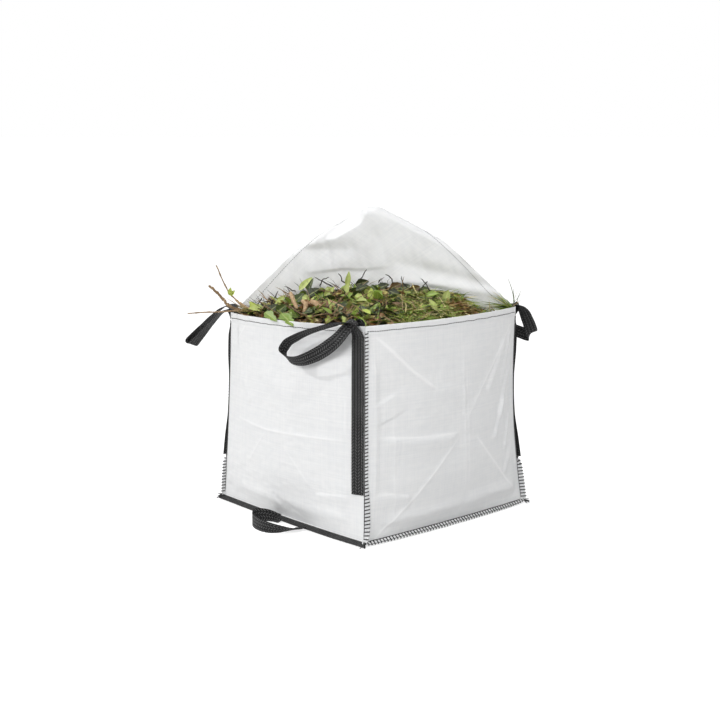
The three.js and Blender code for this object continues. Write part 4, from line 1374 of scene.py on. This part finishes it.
# Plants that stand out one by one, placed in millimetres to the right of the bag's axis, toward the
# viewer and up: start and tip, breadth, roll in degrees, lobes and tint.
VIEW_RIGHT = np.array([0.667, 0.745, 0.0])
VIEW_NEAR = np.array([0.745, -0.667, 0.0])
LEAF_PLACES = [
    [(-104, 120, 728), (-80, 120, 806), 27, 20, 0.0, PALE],
    [(-90, 115, 788), (-79, 115, 838), 21, -30, 0.0, PALE],
    [(-61, 60, 786), (-10, 45, 796), 30, -25, 0.0, SHADE],
    [(-253, 60, 766), (-208, 60, 814), 24, 15, 0.0, PALE],
    [(-222, 45, 760), (-206, 40, 808), 34, 40, 0.0, DEEP],
    [(-164, 150, 753), (-129, 150, 790), 22, -10, 0.0, PALE],
    [(-179, 205, 744), (-138, 235, 722), 30, 10, 0.25, PALE],
    [(-111, 245, 718), (-59, 205, 748), 34, -15, 0.25, PALE],
    [(-237, 165, 757), (-212, 172, 748), 22, 0, 0.0, PALE],
    [(-61, 185, 756), (-28, 185, 762), 25, 20, 0.0, PALE],
    [(-362, 185, 708), (-320, 254, 690), 30, 0, 0.25, LOBED],
    [(-303, 245, 712), (-262, 318, 684), 42, 10, 0.3, LOBED],
    [(-285, 235, 713), (-244, 262, 706), 30, -20, 0.25, LOBED],
    [(-216, 205, 752), (-236, 265, 704), 36, 35, 0.0, RUST],
    [(-226, 95, 748), (-180, 90, 778), 36, 20, 0.1, SHADE],
    [(-196, 110, 752), (-148, 110, 770), 32, -25, 0.1, SHADE],
    [(-262, 150, 738), (-232, 150, 768), 30, 10, 0.1, DEEP],
    [(-352, 190, 706), (-318, 175, 734), 34, 15, 0.2, SHADE],
    [(-322, 215, 708), (-288, 205, 736), 36, -15, 0.2, DEEP],
    [(-58, 120, 772), (-16, 120, 790), 28, 25, 0.1, SHADE],
    [(18, 42, 770), (58, 37, 786), 30, 20, 0.1, SHADE],
    [(60, 42, 768), (100, 37, 788), 32, -15, 0.1, UMBER],
    [(96, 40, 766), (132, 34, 782), 30, 15, 0.1, SHADE],
    [(128, 38, 764), (166, 32, 776), 28, -20, 0.1, UMBER],
    [(164, 38, 760), (198, 32, 770), 26, 10, 0.0, DEEP],
    [(4, 150, 757), (30, 150, 776), 26, 0, 0.0, FRESH],
    [(16, 120, 770), (-6, 115, 792), 24, 30, 0.0, DEEP],
    [(245, 115, 720), (260, 110, 741), 20, 0, 0.0, BUD],
    [(290, 80, 726), (281, 78, 756), 15, 10, 0.0, BUD],
    [(294, 80, 726), (312, 76, 748), 14, -10, 0.0, FRESH],
    [(-496, 2, 741), (-494, 4, 770), 17, 10, 0.0, BUD],
    [(-495, 2, 742), (-479, 6, 760), 13, -20, 0.0, BUD],
]
# Twigs: start and tip. Wood: radius in metres, then places along it.
TWIG_PLACES = [
    [(-314, 95, 722), (-359, 75, 747)], [(-352, 95, 708), (-323, 75, 768)],
    [(-402, 80, 702), (-379, 70, 744)], [(-57, 60, 788), (-21, 42, 838)],
    [(-134, 75, 778), (-203, 50, 813)], [(-262, 75, 762), (-305, 62, 780)],
    [(220, 75, 745), (163, 45, 808)], [(158, 55, 760), (190, 45, 796)],
    [(-330, 90, 716), (-372, 75, 728)], [(70, 60, 788), (46, 45, 820)],
    [(20, 60, 790), (42, 45, 812)], [(-180, 80, 780), (-148, 60, 812)],
    [(120, 60, 775), (100, 45, 815)], [(-90, 70, 790), (-118, 50, 826)],
]
WOOD_PLACES = [
    [0.0095, (-206, 235, 752), (-180, 268, 742), (-164, 292, 708)],
    [0.0070, (-276, 190, 776), (-266, 216, 756), (-250, 244, 724)],
    [0.0055, (-150, 215, 752), (-118, 240, 740), (-84, 272, 724)],
    [0.0075, (-236, 225, 752), (-222, 250, 742), (-228, 262, 716)],
    [0.0045, (-385, 45, 688), (-445, 25, 704), (-478, 12, 730)],
    [0.0030, (-372, 55, 690), (-430, 35, 700), (-462, 22, 722)],
]


def seen_place(places):
    """Points from rows of right, near and up in millimetres."""
    right, near, up = np.moveaxis(np.array(places, dtype=float) / 1000, -1, 0)[..., None]
    return right * VIEW_RIGHT + near * VIEW_NEAR + up * UP


def placed_leaves():
    """The leaves that stand out one by one, turned toward the viewer and a little up."""
    starts = seen_place([row[0] for row in LEAF_PLACES])
    run = seen_place([row[1] for row in LEAF_PLACES]) - starts
    length = np.linalg.norm(run, axis=1)
    breadth, roll, lobes = np.array([row[2:5] for row in LEAF_PLACES]).T
    side = rolled(unit(run), VIEW_NEAR + 0.5 * UP, np.radians(roll))
    curl = np.full(len(run), 0.08)
    points, faces, uv = leaves(starts, unit(run), side, length, breadth / 1000, curl, lobes)
    tint = np.repeat([row[5] for row in LEAF_PLACES], LEAF_POINTS, axis=0)
    make_piece("single_leaves", points, faces, LEAF, "waste", uv, tint)


def corner_plants(name, count, seed, place, way, spread, size, breadth, palette, weights):
    """A bunch of stems at one place that lie along one way, each with a random turn."""
    rng = np.random.default_rng(seed)
    roots = seen_place([place] * count) + rng.normal(0, 0.008, (count, 3)) * [1, 1, 0.3]
    along = unit(way + rng.normal(0, spread, (count, 3)))
    length = rng.uniform(*size, count)
    droop = rng.uniform(0.0, 0.2, count)
    bend = rng.uniform(-0.3, 0.3, count)
    wide = rng.uniform(*breadth, count)
    twist = rng.uniform(-1, 1, count)
    points, faces, uv = blades(roots, along, length, wide, droop, twist, bend)
    tint = spread_tint(rng, palette, weights, count, BLADE_POINTS)
    make_piece(name, keep_inside(points), faces, BLADE, "waste", uv, tint)


placed_leaves()
corner_plants("right_corner_grass", 80, 131, (484, 40, 704), -VIEW_RIGHT + 0.30 * UP, 0.32,
              (0.03, 0.12), (0.0024, 0.005), [FRESH, GRASS, STRAW, DEEP], [5, 4, 1, 2])
corner_plants("right_corner_stalks", 9, 132, (488, 34, 708), 0.3 * VIEW_RIGHT + UP, 0.42,
              (0.05, 0.13), (0.0016, 0.0028), [DEEP, FRESH, DULL], [4, 1, 1])
corner_plants("left_corner_stems", 40, 133, (-395, 42, 682), -VIEW_RIGHT + 0.42 * UP, 0.18,
              (0.05, 0.10), (0.0016, 0.0034), [DULL, MOSS, BROWN, GRASS], [4, 4, 4, 2])

# Twigs among the leaves
TWIG_STEPS = 7
STANDING_STEPS = 9


def twig_set(name, count, seed, lean, size, radius, climb, material):
    """Thin twigs on the open heap: straight runs that wander a little from place to place."""
    spots, rng = open_spots(count, seed, lean)
    count = len(spots)
    along = directions(rng, count, *climb)
    length = rng.uniform(*size, count)
    k = np.linspace(0, 1, TWIG_STEPS)
    bend = rng.normal(0, 0.05, (count, TWIG_STEPS, 3)).cumsum(axis=1)
    reach = (k - 0.25) * length[:, None]
    paths = spots[:, None] + along[:, None] * reach[..., None] + bend * length[:, None, None] * 0.5
    paths[..., 2] += 0.006
    thinning = rng.uniform(*radius, count)[:, None] * (1 - 0.6 * k)
    points, faces = tubes(keep_inside(paths), thinning, 5)
    make_piece(name, points, faces, material, "branch")


def placed_twigs():
    """Dark twigs against the lid, each from its start to its tip with a few bends."""
    ends = seen_place(TWIG_PLACES)
    k = np.linspace(0, 1, STANDING_STEPS)[None, :, None]
    wander = np.random.default_rng(114).normal(0, 0.0022, (len(ends), STANDING_STEPS, 3))
    bend = wander.cumsum(axis=1) * np.sin(np.pi * k) ** 0.5
    paths = ends[:, :1] * (1 - k) + ends[:, 1:] * k + bend
    points, faces = tubes(paths, 0.0027 * (1 - 0.5 * k[..., 0]), 6)
    make_piece("standing_twigs", points, faces, TWIG, "branch")


def placed_wood():
    """Bent pieces of bare wood: tubes along smooth paths, thinner at both ends."""
    paths = np.stack([smooth_path(seen_place(row[1:]), 10)[0] for row in WOOD_PLACES])
    k = np.linspace(0, 1, paths.shape[1])
    size = np.array([row[0] for row in WOOD_PLACES])[:, None] * (0.75 + 0.25 * np.sin(np.pi * k))
    points, faces = tubes(paths, size, 12)
    make_piece("bent_wood", points, faces, WOOD, "branch")


twig_set("fine_twigs", 190, 111, -0.4, (0.05, 0.14), (0.0010, 0.0019), (-5, 55), TWIG)
twig_set("brown_twigs", 210, 112, -0.6, (0.05, 0.15), (0.0014, 0.0034), (-8, 38), BARK)
twig_set("pale_twigs", 90, 115, -0.6, (0.04, 0.12), (0.0012, 0.0028), (-5, 45), WOOD)
twig_set("bare_wood", 6, 113, -1.0, (0.07, 0.12), (0.006, 0.009), (-10, 20), WOOD)
placed_twigs()
placed_wood()

# Branches over the front left corner: the radius in millimetres, the place of the foot on the heap in
# sixths of its half width, and offsets from the foot in millimetres.
BRANCH_ROUTES = {
    "branch_thick": [5, -3, -4, [-136, -107, -6], [-167, -141, 34], [-195, -173, 79]],
    "branch_thin": [2.5, -4, -5, [-53, -35, 34], [-92, -61, 70], [-124, -97, 173]],
    "branch_long": [2.5, -2, -4, [-112, -60, -12], [-220, -148, -20], [-318, -220, -32]],
}
FOOT_GRID = 6
KNOTS_AT = (0.3, 0.47, 0.62, 0.78, 0.9)


def branch(name, radius, column, row, *offsets):
    """A branch along its route: a tube that thins toward its tip, with knots where side shoots sat."""
    foot = heap_point(np.array(column / FOOT_GRID), np.array(row / FOOT_GRID), 1.0)
    foot[2] += (radius + 0.3) / 1000
    route = np.concatenate([[foot], foot + np.array(offsets) / 1000])
    path, _ = smooth_path(route, 22)
    k = np.linspace(0, 1, len(path))
    seed = int(radius * 10) + column - row
    wander = np.stack([noise(k * 5 + axis, k * 0, 0.4, 120 + seed + axis) for axis in range(3)], axis=-1)
    path = path + wander * radius * 0.0006 * ease(0, 0.2, k)[:, None]
    knots = sum(np.exp(-((k - at) / 0.012) ** 2) for at in KNOTS_AT)
    size = radius / 1000 * (1.15 - 0.35 * k) * (1 + 0.45 * knots + 0.1 * noise(k * 20, k * 0, 0.5, seed + 3))
    points, faces = tubes(path[None], size[None], 10)
    piece = make_piece(f"{name}_bark", points, faces, BARK, "branch")
    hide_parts(name)


for name, route in BRANCH_ROUTES.items():
    branch(name, *route)

# Stage, light and camera
CAMERA_PLACE = (3.326, -3.037, 1.298)
CAMERA_TURN = np.radians([90 - 9.89, 0, 48.15])
FLOOR_RADIUS = 400
FLOOR_RINGS = 24
FLOOR_SIDES = 48
FLOOR_GLOW = 0.75
WORLD_LIGHT = 0.37


def add_light(name, kind, place, aim, energy, **settings):
    """A lamp at a place, turned so that it shines toward its aim."""
    lamp = bpy.data.lights.new(name, kind)
    lamp.energy = energy
    for key, value in settings.items():
        setattr(lamp, key, value)
    holder = bpy.data.objects.new(name, lamp)
    bpy.context.collection.objects.link(holder)
    x, y, z = np.array(aim, float) - place
    holder.location = place
    holder.rotation_euler = (np.arctan2(np.hypot(x, y), -z), 0, np.arctan2(y, x) - np.pi / 2)


def seen_directly(tree):
    """1 for what the camera sees, also by a mirror or through glass."""
    path = node(tree, "ShaderNodeLightPath").outputs
    other = number(tree, "MAXIMUM", path["Is Glossy Ray"], path["Is Transmission Ray"])
    return number(tree, "MAXIMUM", path["Is Camera Ray"], other)


def floor_material():
    """Pale floor: a matt white that keeps the shadow, and shows white to the camera where it is lit."""
    material, tree, shader = new_material("pale floor", 0.9)
    shader.inputs["Base Color"].default_value = (0.68, 0.68, 0.68, 1)
    shader.inputs["Specular IOR Level"].default_value = 0.0
    strength = number(tree, "MULTIPLY", seen_directly(tree), FLOOR_GLOW)
    glow = node(tree, "ShaderNodeEmission", {"Strength": strength})
    both = node(tree, "ShaderNodeAddShader", {0: shader.outputs[0], 1: glow.outputs[0]})
    tree.links.new(both.outputs[0], tree.nodes["Material Output"].inputs["Surface"])
    return material


def add_floor():
    """A round floor as rings of points that widen outward."""
    ring = np.linspace(0, 1, FLOOR_RINGS)[:, None] ** 3 * FLOOR_RADIUS + 0.001
    angle = np.linspace(0, 2 * np.pi, FLOOR_SIDES + 1)[None, :-1]
    points = np.stack(np.broadcast_arrays(ring * np.cos(angle), ring * np.sin(angle), -0.0005), axis=-1)
    faces = grid_faces(FLOOR_RINGS, FLOOR_SIDES, around=True)
    mesh = bpy.data.meshes.new("floor")
    mesh.from_pydata(points.reshape(-1, 3).tolist(), [], faces.tolist())
    mesh.materials.append(floor_material())
    floor = bpy.data.objects.new("floor", mesh)
    bpy.context.collection.objects.link(floor)


def add_world():
    """White all round for the camera, and an even soft light for the bag."""
    world = bpy.data.worlds.new("studio")
    world.use_nodes = True
    tree = world.node_tree
    ground = tree.nodes["Background"]
    tree.links.new(ranged(tree, seen_directly(tree), 0, 1, WORLD_LIGHT, 1.0), ground.inputs["Strength"])
    ground.inputs["Color"].default_value = (1, 1, 1, 1)
    bpy.context.scene.world = world


add_floor()
add_world()
add_light("front softbox", "AREA", (1.3, -3.5, 2.2), (0, 0, 0.4), 52, size=1.2)
add_light("right softbox", "AREA", (2.4, 0.1, 3.3), (0.3, 0, 0.4), 29, size=1.2)
add_light("low softbox", "AREA", (3.0, 0.9, 0.35), (0.4, 0, 0.2), 6, size=1.0)
add_light("top softbox", "AREA", (0.2, -0.2, 3.6), (0, 0, 0.7), 18, size=1.2)
add_light("side light", "SUN", (-2.0, -1.43, 2.03), (0, 0, 0.5), 1.15, angle=np.radians(1.5))
camera_data = bpy.data.cameras.new("view")
camera_data.lens = 65
camera_data.sensor_width = 36
camera = bpy.data.objects.new("view", camera_data)
camera.location = CAMERA_PLACE
camera.rotation_euler = CAMERA_TURN
bpy.context.collection.objects.link(camera)
bpy.context.scene.camera = camera
bpy.context.scene.view_settings.view_transform = "Standard"
